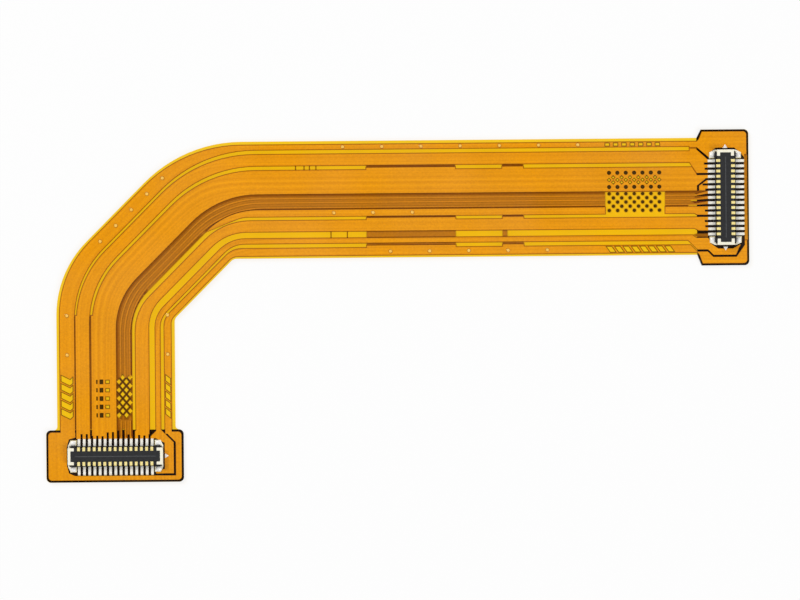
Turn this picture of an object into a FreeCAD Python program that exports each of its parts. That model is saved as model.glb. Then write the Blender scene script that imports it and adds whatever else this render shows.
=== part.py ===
import FreeCAD, Part
import math
import os
import Sketcher

# A flexible printed circuit cut to an L, with a two-row board connector on a stiffened paddle at
# each end. Sizes are in millimetres. The layout is drawn from the virtual outer corner of the film:
# x runs along the long arm, y is negative down the short arm, z is up from the resting surface.

SIZES = (
    # Layers, from the resting surface up
    ("stiffener_thick", 0.20),
    ("cover_thick", 0.05),
    ("core_thick", 0.05),
    ("copper_thick", 0.02),
    # Film outline
    ("bend_leg", 9.88),
    ("bend_radius_low", 8.0),
    ("bend_radius_high", 10.5),
    ("inner_radius", 0.6),
    ("radius_falloff", 1.7),
    ("left_reach", 25.96),
    ("left_paddle_depth", 4.0),
    ("left_overhang_outer", 0.86),
    ("left_overhang_inner", 0.60),
    ("right_reach", 53.05),
    ("right_paddle_depth", 3.96),
    ("right_overhang_outer", 0.63),
    ("right_overhang_inner", 0.82),
    ("right_slant", 0.32),
    ("paddle_radius", 0.35),
    ("crook_radius", 0.30),
    ("copper_rim", 0.16),
    # Connector rows
    ("left_row_inset", 2.0),
    ("left_row_along", 5.31),
    ("right_row_inset", 1.80),
    ("pitch", 0.40),
    ("contacts", 15),
    ("contact_width", 0.21),
    ("tail_reach", 1.36),
    ("inner_tail_cut", 0.12),
    ("tail_thick", 0.08),
    ("riser_out", 0.71),
    ("riser_thick", 0.06),
    ("contact_in", 0.41),
    ("plate_thick", 0.04),
    ("solder_lift", 0.02),
    ("solder_toe", 0.08),
    ("land_in", 0.70),
    ("land_reach", 1.34),
    ("outer_land_reach", 1.47),
    ("slot_reach", 1.46),
    ("land_width", 0.20),
    ("opening_length", 7.50),
    ("opening_depth", 3.02),
    ("opening_inner", 1.34),
    # Connector housing and hold-downs
    ("housing_length", 6.84),
    ("housing_top", 0.62),
    ("rail_out", 0.78),
    ("rail_height", 0.26),
    ("rail_tie_gap", 0.05),
    ("rail_cheek", 0.12),
    ("ridge_rise", 0.05),
    ("ridge_width", 0.78),
    ("fitting_thick", 0.22),
    ("fitting_heel", 0.03),
    ("fitting_arm", 0.26),
    ("fitting_foot_reach", 1.20),
    ("fitting_foot_length", 0.44),
    ("fitting_gap", 0.04),
    ("fitting_land_margin", 0.03),
    # Copper details
    ("finger_width", 0.15),
    ("isolation", 0.16),
    ("end_step", 0.55),
    ("copper_lap", 0.10),
    ("shelf_rise", 0.25),
    ("shelf_drop", 0.42),
    ("line_fan", 1.00),
    ("fine_trace", 0.10),
    ("line_first", 0.30),
    ("line_second", 0.62),
    ("line_third", 1.00),
    ("centre_start", 11.5),
    ("centre_width", 0.50),
    ("patch_start", 23.8),
    ("patch_length", 6.8),
    ("short_patch_start", 34.2),
    ("short_patch_length", 1.6),
    ("short_patch_stub", 0.35),
    ("patch_lap", 0.17),
    ("side_lap", 0.10),
    ("side_bridge_start", 13.2),
    ("via_radius", 0.10),
    ("via_pitch", 3.0),
    ("via_start_outer", 22.0),
    ("via_start_inner", 25.6),
    ("via_start_slim", 21.3),
    ("via_start_side", 16.2),
    ("via_start_bend", 3.4),
    ("hatch_pitch", 0.64),
    ("hatch_bar", 0.09),
    ("hatch_wall", 0.24),
    ("hatch_dot", 0.155),
    ("hatch_margin", 0.21),
    ("hatch_cell", 0.17),
    ("mesh_pitch", 0.56),
    ("mesh_bar", 0.045),
    ("mesh_dot", 0.13),
    ("hatch_length", 4.60),
    ("right_hatch_start", 42.05),
    ("left_hatch_start", 17.95),
    ("left_hatch_length", 3.20),
    ("mark_size", 0.36),
    ("ink_thick", 0.012),
)

# Widths across the cable from its outer edge in, in the short arm, the bend and the long arm
ACROSS = (
    ("outer_margin", 0.25, 0.20, 0.28),
    ("guard_outer", 1.10, 1.08, 0.35),
    ("gap_first", 0.20, 0.26, 0.38),
    ("power_outer", 0.95, 0.90, 0.85),
    ("gap_second", 0.25, 0.30, 0.37),
    ("main_plane", 1.79, 1.95, 1.80),
    ("band", 1.22, 1.32, 1.22),
    ("gap_third", 0.28, 0.38, 0.82),
    ("power_inner", 1.00, 0.72, 0.83),
    ("gap_fourth", 0.52, 0.60, 0.54),
    ("return_strip", 0.35, 0.40, 0.37),
    ("gap_fifth", 0.34, 0.26, 0.38),
    ("guard_inner", 0.50, 0.40, 0.56),
    ("inner_margin", 0.30, 0.18, 0.20),
)
LEGS = ("side", "bend", "run")

# How far the gap after each contact reaches back between the copper, at the left and right row
SLOTS = (
    (1, 0.24, 0.15),
    (2, 0.24, 0.10),
    (3, 0.10, 0.59),
    (4, 0.11, 0.06),
    (5, 0.07, 0.27),
    (6, 0.36, 0.06),
    (7, 0.38, 0.90),
    (8, 0.50, 1.20),
    (9, 0.60, 1.37),
    (10, 0.19, 0.10),
    (11, 0.43, 0.61),
    (12, 0.14, 0.12),
    (13, 0.10, 0.08),
    (14, 0.19, 0.59),
)

doc = FreeCAD.newDocument("flex_cable")
sheet = doc.addObject("Spreadsheet::Sheet", "Sizes")


def fill_sheet():
    rows = list(SIZES)
    for name, *widths in ACROSS:
        rows += [(f"{name}_{leg}", width) for leg, width in zip(LEGS, widths)]
    for number, left, right in SLOTS:
        rows += [(f"left_slot_{number}", left), (f"right_slot_{number}", right)]
    for number, (name, size) in enumerate(rows, 1):
        sheet.set(f"A{number}", name)
        sheet.set(f"B{number}", str(size))
        sheet.setAlias(f"B{number}", name)
    doc.recompute()


def size(name):
    """The sheet cell of a size, as an expression."""
    return f"Sizes.{name}"


def value(expression):
    return float(sheet.evalExpression(str(expression)))


# Offsets across the cable. A line is named by the strip or gap that it starts.
ORDER = [row[0] for row in ACROSS]


def offset(leg, name):
    """Distance from the cable's outer edge to the outer side of the named strip."""
    count = ORDER.index(name) if name != "end" else len(ORDER)
    if count == 0:
        return "0"
    return "(" + " + ".join(size(f"{one}_{leg}") for one in ORDER[:count]) + ")"


def bend_radius(outer_radius, name):
    share = f"({offset('bend', name)} / {offset('bend', 'end')}) ^ Sizes.radius_falloff"
    return f"{outer_radius} - ({outer_radius} - Sizes.inner_radius) * {share}"


def bend_corners(name, shift="0"):
    """The two rounded corners of a line that follows the cable, from the short arm to the long."""
    side = f"({offset('side', name)} + {shift})"
    bend = f"({offset('bend', name)} + {shift})"
    run = f"({offset('run', name)} + {shift})"
    low = (side, f"{side} - Sizes.bend_leg - {bend} * sqrt(2)", bend_radius("Sizes.bend_radius_low", name))
    high = (f"Sizes.bend_leg + {bend} * sqrt(2) - {run}", f"-{run}",
            bend_radius("Sizes.bend_radius_high", name))
    return [low, high]


# Heights of the layers
CORE_BOTTOM = "(Sizes.stiffener_thick + Sizes.cover_thick)"
CORE_TOP = f"({CORE_BOTTOM} + Sizes.core_thick)"
FILM_TOP = f"({CORE_TOP} + Sizes.cover_thick)"
COPPER_TOP = f"({CORE_TOP} + Sizes.copper_thick)"
UNDER_COPPER = f"({CORE_BOTTOM} - Sizes.copper_thick)"

# Limits of the film and places of the connector rows
FILM_SIDE = offset("side", "end")
FILM_RUN = offset("run", "end")
LEFT_TOP = "(Sizes.left_paddle_depth - Sizes.left_reach)"
LEFT_IN = f"({FILM_SIDE} + Sizes.left_overhang_inner)"
RIGHT_START = "(Sizes.right_reach - Sizes.right_paddle_depth)"
RIGHT_LOW = f"(-{FILM_RUN} - Sizes.right_overhang_inner)"
LEFT_ROW = ("(Sizes.left_row_along - Sizes.left_overhang_outer)", "(Sizes.left_row_inset - Sizes.left_reach)")
RIGHT_ROW = ("(Sizes.right_reach - Sizes.right_row_inset)",
             f"((Sizes.right_overhang_outer + {RIGHT_LOW}) / 2)")
HALF_ROW = "(Sizes.contacts * Sizes.pitch / 2)"
LEFT_ENDS = f"({LEFT_ROW[1]} + Sizes.land_reach)"
RIGHT_ENDS = f"({RIGHT_ROW[0]} - Sizes.land_reach)"
CENTRE = ("((Sizes.right_reach - Sizes.left_overhang_outer) / 2)",
          "((Sizes.right_overhang_outer - Sizes.left_reach) / 2)")


def left_finger(number):
    """Place along x of the gap after the numbered contact of the left row."""
    return f"({LEFT_ROW[0]} - {HALF_ROW} + {number} * Sizes.pitch)"


def right_finger(number):
    """Place along y of the gap after the numbered contact of the right row."""
    return f"({RIGHT_ROW[1]} + {HALF_ROW} - {number} * Sizes.pitch)"


def turn_at(before, here, after):
    """Unit directions into and out of a corner, and the angle between them."""
    into = (here - before).normalize()
    out = (after - here).normalize()
    angle = math.atan2(into.x * out.y - into.y * out.x, into.dot(out))
    return into, out, angle


def corner_arc(here, into, out, angle, radius):
    """The arc that rounds a corner, drawn counter-clockwise, and its entry and exit points."""
    reach = radius * math.tan(abs(angle) / 2)
    entry = here - into * reach
    leave = here + out * reach
    side = 1 if angle > 0 else -1
    centre = entry + FreeCAD.Vector(-into.y, into.x, 0) * radius * side
    first, last = (entry, leave) if angle > 0 else (leave, entry)
    start = math.atan2(first.y - centre.y, first.x - centre.x)
    end = math.atan2(last.y - centre.y, last.x - centre.x)
    circle = Part.Circle(centre, FreeCAD.Vector(0, 0, 1), radius)
    return Part.ArcOfCircle(circle, start, end), entry, leave


def place_point(sketch, rules, geometry, position, corner):
    """Ties a point of the sketch to the expressions of a corner."""
    for kind, expression in zip(("DistanceX", "DistanceY"), corner[:2]):
        rules.append((Sketcher.Constraint(kind, -1, 1, geometry, position, value(expression)), expression))


def draw_outline(sketch, corners):
    """Draws a closed outline. A corner is (x, y) or (x, y, radius), each an expression."""
    spots = [FreeCAD.Vector(value(corner[0]), value(corner[1]), 0) for corner in corners]
    count = len(corners)
    arcs = {}
    for index, corner in enumerate(corners):
        if len(corner) == 3:
            turn = turn_at(spots[index - 1], spots[index], spots[(index + 1) % count])
            arcs[index] = corner_arc(spots[index], *turn, value(corner[2])) + (turn[2],)
    base = sketch.GeometryCount
    for index in range(count):
        after = (index + 1) % count
        start = arcs[index][2] if index in arcs else spots[index]
        end = arcs[after][1] if after in arcs else spots[after]
        sketch.addGeometry(Part.LineSegment(start, end))
    rules = []
    for index, corner in enumerate(corners):
        line_in = base + (index - 1) % count
        line_out = base + index
        if index not in arcs:
            rules.append((Sketcher.Constraint("Coincident", line_in, 2, line_out, 1), None))
            place_point(sketch, rules, line_out, 1, corner)
            continue
        arc, _, _, angle = arcs[index]
        curve = sketch.addGeometry(arc)
        point = sketch.addGeometry(Part.Point(spots[index]), True)
        first, last = (1, 2) if angle > 0 else (2, 1)
        rules += [
            (Sketcher.Constraint("Tangent", line_in, 2, curve, first), None),
            (Sketcher.Constraint("Tangent", curve, last, line_out, 1), None),
            (Sketcher.Constraint("PointOnObject", point, 1, line_in), None),
            (Sketcher.Constraint("PointOnObject", point, 1, line_out), None),
            (Sketcher.Constraint("Radius", curve, value(corner[2])), corner[2]),
        ]
        place_point(sketch, rules, point, 1, corner)
    number = sketch.ConstraintCount
    sketch.addConstraint([rule for rule, _ in rules])
    for step, (_, expression) in enumerate(rules):
        if expression is not None:
            sketch.setExpression(f"Constraints[{number + step}]", str(expression))


def draw_circle(sketch, x, y, radius):
    spot = FreeCAD.Vector(value(x), value(y), 0)
    curve = sketch.addGeometry(Part.Circle(spot, FreeCAD.Vector(0, 0, 1), value(radius)))
    rules = []
    place_point(sketch, rules, curve, 3, (x, y))
    rules.append((Sketcher.Constraint("Radius", curve, value(radius)), radius))
    number = sketch.ConstraintCount
    sketch.addConstraint([rule for rule, _ in rules])
    for step, (_, expression) in enumerate(rules):
        sketch.setExpression(f"Constraints[{number + step}]", str(expression))


def draw(sketch, outline):
    """Draws an outline: a list of corners, or the centre and radius of a circle."""
    if isinstance(outline, list):
        draw_outline(sketch, outline)
    else:
        draw_circle(sketch, *outline)


def layout_body(name):
    """A body drawn in the layout, set back so that the part's box is centred on the origin."""
    body = doc.addObject("PartDesign::Body", name)
    body.Label = name
    body.setExpression("Placement.Base.x", f"-{CENTRE[0]}")
    body.setExpression("Placement.Base.y", f"-{CENTRE[1]}")
    return body


def connector_body(name, row, degrees):
    """A body drawn about a connector's own centre, with its row of contacts along x."""
    body = doc.addObject("PartDesign::Body", name)
    body.Label = name
    body.Placement.Rotation = FreeCAD.Rotation(FreeCAD.Vector(0, 0, 1), degrees)
    body.setExpression("Placement.Base.x", f"{row[0]} - {CENTRE[0]}")
    body.setExpression("Placement.Base.y", f"{row[1]} - {CENTRE[1]}")
    return body


def origin_feature(body, role):
    return next(one for one in body.Origin.OriginFeatures if one.Role == role)


def new_sketch(body, name, role="XY_Plane", level="0"):
    sketch = body.newObject("Sketcher::SketchObject", name)
    sketch.AttachmentSupport = [(origin_feature(body, role), "")]
    sketch.MapMode = "FlatFace"
    sketch.setExpression("AttachmentOffset.Base.z", level)
    return sketch


def pad(body, name, outline, bottom, height):
    """Adds a slab of the given outline, from its bottom level up."""
    sketch = new_sketch(body, f"{name}_outline", level=bottom)
    draw(sketch, outline)
    feature = body.newObject("PartDesign::Pad", name)
    feature.Profile = sketch
    feature.setExpression("Length", height)
    feature.Refine = False
    return feature


def pocket(body, name, outline, top, depth):
    """Cuts an outline down from its top level."""
    sketch = new_sketch(body, f"{name}_outline", level=top)
    draw(sketch, outline)
    feature = body.newObject("PartDesign::Pocket", name)
    feature.Profile = sketch
    feature.setExpression("Length", depth)
    feature.Refine = False
    return feature


def repeat(body, feature, role, length, count, second=None):
    """Repeats a feature along an origin axis, and along a second one when it is given."""
    row = body.newObject("PartDesign::LinearPattern", f"{feature.Name}_row")
    row.Originals = [feature]
    row.Refine = False
    row.Direction = (origin_feature(body, role), [""])
    row.setExpression("Length", length)
    row.setExpression("Occurrences", str(count))
    if second:
        other_role, other_length, other_count = second
        row.Direction2 = (origin_feature(body, other_role), [""])
        row.setExpression("Length2", other_length)
        row.setExpression("Occurrences2", str(other_count))
    body.Tip = row
    return row


def rectangle(left, right, low, high, radius=None):
    corners = [(left, low), (right, low), (right, high), (left, high)]
    if radius:
        corners = [corner + (radius,) for corner in corners]
    return corners


def lozenge(x, y, half, tall=None):
    """A square stood on its corner, or one stretched along y."""
    tall = tall or half
    return [(f"{x} - {half}", y), (x, f"{y} - {tall}"), (f"{x} + {half}", y), (x, f"{y} + {tall}")]


def strip(outer, inner, left_ends, right_ends, left_end=(), right_end=()):
    """Outline of a copper strip between two lines of the cable.

    left_end and right_end are extra corners, from the outer line round to the inner one.
    """
    start = list(left_end) or [(offset("side", outer), left_ends), (offset("side", inner), left_ends)]
    end = list(right_end)
    if not end:
        end = [(right_ends, f"-{offset('run', outer)}"), (right_ends, f"-{offset('run', inner)}")]
    corners = [start[0]] + bend_corners(outer) + end + bend_corners(inner)[::-1] + start[:0:-1]
    return corners[::-1]


# Outlines of the paddles and of the whole film


def left_paddle_corners(inset, top):
    """The left paddle's outline below the film's arm, from its inner top corner round."""
    inner = f"({LEFT_IN} - {inset})"
    outer = f"({inset} - Sizes.left_overhang_outer)"
    low = f"({inset} - Sizes.left_reach)"
    high = f"({LEFT_TOP} - {top})"
    radius = f"Sizes.paddle_radius - {inset} / 2"
    return [(inner, high, radius), (inner, low, radius), (outer, low, radius), (outer, high, radius)]


def right_paddle_corners(inset):
    """The right paddle's outline beyond the film's arm, from its upper slant round."""
    top = f"(Sizes.right_overhang_outer - {inset})"
    low = f"({RIGHT_LOW} + {inset})"
    end = f"(Sizes.right_reach - {inset})"
    slant = f"({RIGHT_START} + Sizes.right_slant + {inset} / 2)"
    radius = f"Sizes.paddle_radius - {inset} / 2"
    return [(slant, top), (end, top, radius), (end, low, radius), (slant, low)]


def film_outline():
    crook = "Sizes.crook_radius"
    corners = [("0", LEFT_TOP, crook)] + bend_corners("outer_margin")
    corners += [(RIGHT_START, "0")] + right_paddle_corners("0") + [(RIGHT_START, f"-{FILM_RUN}")]
    corners += bend_corners("end")[::-1] + [(FILM_SIDE, LEFT_TOP, crook)]
    corners += left_paddle_corners("0", "0")
    return corners[::-1]


def film(name, bottom, thick):
    body = layout_body(name)
    pad(body, f"{name}_sheet", film_outline(), bottom, size(thick))
    return body


# Stiffeners


def left_stiffener():
    body = layout_body("left_stiffener")
    pad(body, "left_stiffener_plate", left_paddle_corners("0", "0")[::-1], "0", "Sizes.stiffener_thick")


def right_stiffener():
    body = layout_body("right_stiffener")
    corners = [(RIGHT_START, "0")] + right_paddle_corners("0") + [(RIGHT_START, f"-{FILM_RUN}")]
    pad(body, "right_stiffener_plate", corners[::-1], "0", "Sizes.stiffener_thick")


# Upper copper

HALF_FINGER = "(Sizes.finger_width / 2)"
HALF_ISOLATION = "(Sizes.isolation / 2)"
STEP_IN = f"({RIGHT_START} - Sizes.end_step)"
GUARD_SHELF = f"(Sizes.shelf_rise - {FILM_RUN})"
RETURN_SHELF = f"({GUARD_SHELF} + Sizes.isolation)"


def copper(name, corners):
    """A piece of upper copper under the top coverlay."""
    body = layout_body(name)
    pad(body, f"{name}_copper", corners, CORE_TOP, size("copper_thick"))
    return body


def window(body, name, outline, axis=None, count=1, second=None):
    """An opening etched in upper copper, repeated at the hatch pitch."""
    feature = pocket(body, name, outline, COPPER_TOP, size("copper_thick"))
    if axis:
        repeat(body, feature, axis, f"{count - 1} * Sizes.hatch_pitch", count, second)


def slot_group(name, slot_at):
    """All slots of one row of lands, tall enough for both layers of copper."""
    body = layout_body(name)
    sketch = new_sketch(body, f"{name}_outline", level=UNDER_COPPER)
    for row in SLOTS:
        draw_outline(sketch, slot_at(row[0]))
    feature = body.newObject("PartDesign::Pad", f"{name}_pad")
    feature.Profile = sketch
    feature.setExpression("Length", f"{FILM_TOP} - {UNDER_COPPER}")
    return body


def left_slot(number):
    middle = left_finger(number)
    low = f"({LEFT_ENDS} - Sizes.land_width)"
    high = f"({LEFT_ROW[1]} + Sizes.slot_reach + Sizes.left_slot_{number})"
    return rectangle(f"{middle} - {HALF_FINGER}", f"{middle} + {HALF_FINGER}", low, high)


def right_slot(number):
    middle = right_finger(number)
    start = f"({RIGHT_ROW[0]} - Sizes.slot_reach - Sizes.right_slot_{number})"
    far = f"({RIGHT_ENDS} + Sizes.land_width)"
    return rectangle(start, far, f"{middle} - {HALF_FINGER}", f"{middle} + {HALF_FINGER}")


def contact_slots():
    """The gaps between neighbouring traces where they run onto the lands."""
    both = doc.addObject("Part::Compound", "contact_slots")
    both.Links = [slot_group("left_slots", left_slot), slot_group("right_slots", right_slot)]
    return both


def cut_out(name, blank, tool):
    """What is left of a blank once the tool's shape is taken out."""
    cut = doc.addObject("Part::Cut", name)
    cut.Label = name
    cut.Base = blank
    cut.Tool = tool
    return cut


def fingered(name, corners, cutters, details=None):
    """A strip whose ends are slotted between the contacts that it feeds."""
    blank = copper(f"{name}_blank", corners)
    if details:
        details(blank)
    return cut_out(name, blank, cutters)


def run_laps(body, name):
    """Widens a strip of the long arm on its outer side where the lower copper crosses it."""
    edge = f"-{offset('run', name)}"
    for patch in ("patch", "short_patch"):
        start = f"Sizes.{patch}_start"
        lap = rectangle(start, f"{start} + Sizes.{patch}_length", f"{edge} - Sizes.copper_lap",
                        f"{edge} + Sizes.patch_lap")
        pad(body, f"{name}_{patch}_lap", lap, CORE_TOP, size("copper_thick"))


def side_lap(body, name):
    """Widens a strip of the short arm on its outer side where the lower copper bridges the gap."""
    edge = offset("side", name)
    lap = rectangle(f"{edge} - Sizes.side_lap", f"{edge} + Sizes.copper_lap", LEFT_ENDS,
                    "-Sizes.side_bridge_start")
    pad(body, f"{name}_side_lap", lap, CORE_TOP, size("copper_thick"))


def power_outer(cutters):
    """The outer power strip: its right end slants down onto the first three contacts."""
    lifted = f"({offset('run', 'gap_first')} + Sizes.isolation * 1.2)"
    low = f"({right_finger(3)} + {HALF_ISOLATION})"
    right_end = [
        (STEP_IN, f"-{offset('run', 'power_outer')}"),
        (STEP_IN, f"-{lifted}"),
        (f"({RIGHT_START} - Sizes.fine_trace)", f"-{lifted}"),
        (RIGHT_ENDS, f"({right_finger(0)} - {HALF_ISOLATION})"),
        (RIGHT_ENDS, low),
        (RIGHT_START, low),
        (STEP_IN, f"-{offset('run', 'gap_second')}"),
    ]
    corners = strip("power_outer", "gap_second", LEFT_ENDS, RIGHT_ENDS, (), right_end)
    return fingered("power_outer", corners, cutters, lambda body: side_lap(body, "power_outer"))


def main_details(body):
    """The laps of the widest strip, and its rows of small openings over the two hatched zones."""
    run_laps(body, "main_plane")
    side_lap(body, "main_plane")
    along = "(Sizes.right_hatch_start + Sizes.hatch_pitch / 2)"
    low = f"(-{offset('run', 'band')} + Sizes.hatch_pitch / 2)"
    rows = ("Y_Axis", "Sizes.hatch_pitch * 1.7", 2)
    window(body, "main_right_window", (along, low, "Sizes.hatch_dot"), "X_Axis", 7, rows)
    for index, (across, rise) in enumerate(((0.5, 0.55), (0, 0.85), (0.5, 1.15))):
        cell = lozenge(f"({along} + {across} * Sizes.hatch_pitch)", f"({low} + {rise} * Sizes.hatch_pitch)",
                       "Sizes.hatch_cell")
        window(body, f"main_cell_{index}", cell, "X_Axis", 7 if across == 0 else 6)
    left_marks(body)
    main_curve(body)


def left_marks(body):
    """Three columns of small openings beside the left mesh: fine strokes, dark cells and rings."""
    first = "(-Sizes.left_hatch_start - Sizes.left_hatch_length + Sizes.hatch_pitch / 2)"
    columns = (("stroke", 2.32, "Sizes.fine_trace / 2", "Sizes.hatch_dot"),
               ("cell", 1.78, "Sizes.hatch_dot * 0.9", "Sizes.hatch_dot * 1.15"),
               ("ring", 1.05, "Sizes.hatch_cell", "Sizes.hatch_dot"))
    for name, steps, half, rise in columns:
        across = f"({offset('side', 'band')} - {steps} * Sizes.hatch_pitch)"
        cell = rectangle(f"{across} - {half}", f"{across} + {half}", f"{first} - {rise}", f"{first} + {rise}")
        window(body, f"main_left_{name}", cell, "Y_Axis", 5)


def main_curve(body):
    """The curved gap that parts the ends over the fifth and sixth contact from the plane."""
    far = f"({RIGHT_ENDS} - 2.05 * Sizes.pitch)"
    near = f"({far} + Sizes.isolation)"
    high = right_finger(4)
    low = f"(-{offset('run', 'band')} - Sizes.isolation)"
    corners = [(far, low), (near, low), (near, f"{high} - 1.25 * Sizes.pitch"),
               (f"{RIGHT_ENDS} - {HALF_ISOLATION}", f"{high} - {HALF_ISOLATION}"),
               (f"{RIGHT_ENDS} + {HALF_ISOLATION}", f"{high} - {HALF_ISOLATION}"),
               (f"{RIGHT_ENDS} + {HALF_ISOLATION}", f"{high} + {HALF_ISOLATION}"),
               (f"{RIGHT_ENDS} - 0.3 * Sizes.pitch", f"{high} + {HALF_ISOLATION}"),
               (far, f"{high} - 1.2 * Sizes.pitch")]
    window(body, "main_curve", corners)


def main_plane(cutters):
    """The widest strip, which steps down below the third contact at its right end."""
    high = f"({right_finger(3)} - {HALF_ISOLATION})"
    right_end = [(f"({STEP_IN} + Sizes.isolation)", f"-{offset('run', 'main_plane')}"), (RIGHT_START, high),
                 (RIGHT_ENDS, high), (RIGHT_ENDS, f"-{offset('run', 'band')}")]
    corners = strip("main_plane", "band", LEFT_ENDS, RIGHT_ENDS, (), right_end)
    return fingered("main_plane", corners, cutters, main_details)


def flare(outer, inner, first, last):
    """Right end of a strip that spreads from the gap before its first contact to the one after its last."""
    jog = f"({RIGHT_START} - Sizes.pitch / 2)"
    wide = f"({RIGHT_START} + Sizes.fine_trace)"
    high = f"({right_finger(first)} - {HALF_ISOLATION})"
    low = f"({right_finger(last)} + {HALF_ISOLATION})"
    return [(jog, f"-{offset('run', outer)}"), (wide, high), (RIGHT_ENDS, high), (RIGHT_ENDS, low),
            (wide, low), (jog, f"-{offset('run', inner)}")]


def power_inner(cutters):
    """The inner power strip, which spreads over three contacts at each end."""
    outer = offset("side", "power_inner")
    first = f"({left_finger(11)} + {HALF_ISOLATION})"
    inner = offset("side", "gap_fourth")
    left_end = [(outer, LEFT_TOP), (first, f"{LEFT_TOP} - {outer} + {first}"), (first, LEFT_ENDS),
                (inner, LEFT_ENDS)]
    right_end = flare("power_inner", "gap_fourth", 11, 14)
    corners = strip("power_inner", "gap_fourth", LEFT_ENDS, RIGHT_ENDS, left_end, right_end)
    return fingered("power_inner", corners, cutters, lambda body: run_laps(body, "power_inner"))


def return_strip(cutters):
    """The return strip: a land round the end of the left connector, the last contact at the right."""
    outer = offset("side", "return_strip")
    inner = offset("side", "gap_fifth")
    first = f"({left_finger(14)} + {HALF_ISOLATION})"
    near = f"({left_finger(15)} + {HALF_ISOLATION})"
    edge = f"({LEFT_ROW[0]} + Sizes.opening_length / 2)"
    far = f"({FILM_SIDE} - Sizes.isolation)"
    low = f"({LEFT_ROW[1]} - Sizes.opening_depth / 2 + Sizes.isolation)"
    left_end = [
        (outer, f"{LEFT_TOP} - {HALF_ISOLATION}"),
        (first, f"{LEFT_TOP} - {HALF_ISOLATION} - {outer} + {first}"),
        (first, LEFT_ENDS),
        (near, LEFT_ENDS),
        (edge, f"{LEFT_ENDS} - Sizes.paddle_radius"),
        (edge, f"{low} + Sizes.paddle_radius"),
        (near, f"{low} + Sizes.isolation"),
        (near, low),
        (far, low),
        (far, f"{LEFT_TOP} - {far} + {inner}"),
        (inner, LEFT_TOP),
    ]
    corners = strip("return_strip", "gap_fifth", LEFT_ENDS, RIGHT_ENDS, left_end, return_end())
    return fingered("return_strip", corners, cutters)


def return_end():
    """Right end of the return strip: it passes below the last contact and spreads past the connector."""
    across, along = RIGHT_ROW
    low = f"({along} - Sizes.opening_length / 2)"
    foot = f"({along} - {HALF_ROW} - Sizes.isolation * 2)"
    inside = f"({across} - Sizes.outer_land_reach + 0.8 * Sizes.isolation)"
    fall = f"(-{RETURN_SHELF} - {offset('run', 'gap_fifth')})"
    return [
        (f"({RIGHT_ENDS} - 3 * Sizes.pitch)", f"-{offset('run', 'return_strip')}"),
        (f"({RIGHT_ENDS} - 2.3 * Sizes.pitch)", f"({right_finger(15)} - {HALF_ISOLATION})"),
        (RIGHT_ENDS, f"({right_finger(15)} - {HALF_ISOLATION})"),
        (f"({RIGHT_ENDS} + Sizes.isolation)", foot),
        (f"({across} - Sizes.fitting_foot_reach)", f"{foot} - Sizes.isolation"),
        (f"({across} - Sizes.contact_in - Sizes.isolation)", f"{low} - Sizes.isolation"),
        (f"({across} + Sizes.contact_in + Sizes.isolation)", f"{low} - Sizes.isolation"),
        (f"({across} + Sizes.outer_land_reach - 2 * Sizes.isolation)", f"{low} + Sizes.isolation"),
        (f"({across} + Sizes.rail_out)", f"{RETURN_SHELF} - Sizes.shelf_drop"),
        (f"{inside} + Sizes.shelf_drop", f"{RETURN_SHELF} - Sizes.shelf_drop"),
        (inside, RETURN_SHELF),
        (f"({STEP_IN} - Sizes.isolation + {fall})", RETURN_SHELF),
        (f"({STEP_IN} - Sizes.isolation)", f"-{offset('run', 'gap_fifth')}"),
    ]


def centre_strip(cutters):
    """The slim strip that starts to a point in the bend and runs beside the brown band."""
    across = offset("bend", "gap_third")
    start = ("Sizes.centre_start", f"(Sizes.centre_start - Sizes.bend_leg - {across} * sqrt(2))")
    outer = bend_corners("gap_third")[1]
    low = f"-({offset('run', 'gap_third')} + Sizes.centre_width)"
    last = f"({right_finger(11)} + {HALF_ISOLATION})"
    corners = [start, outer, (RIGHT_ENDS, outer[1]), (RIGHT_ENDS, last), (RIGHT_START, last)]
    corners += [(f"({RIGHT_START} - Sizes.pitch / 2)", low)]
    corners += [("(Sizes.centre_start + Sizes.bend_leg * 0.28)", low, "Sizes.bend_radius_low / 3")]
    return fingered("centre_strip", corners[::-1], cutters, centre_window)


def centre_window(body):
    """The slim strip is missing over the right hatched zone."""
    high = f"(-{offset('run', 'gap_third')} + Sizes.isolation)"
    low = f"({high} - Sizes.centre_width - 2 * Sizes.isolation)"
    end = "(Sizes.right_hatch_start + Sizes.hatch_length)"
    window(body, "centre_gap", rectangle("Sizes.right_hatch_start", end, low, high))


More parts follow.
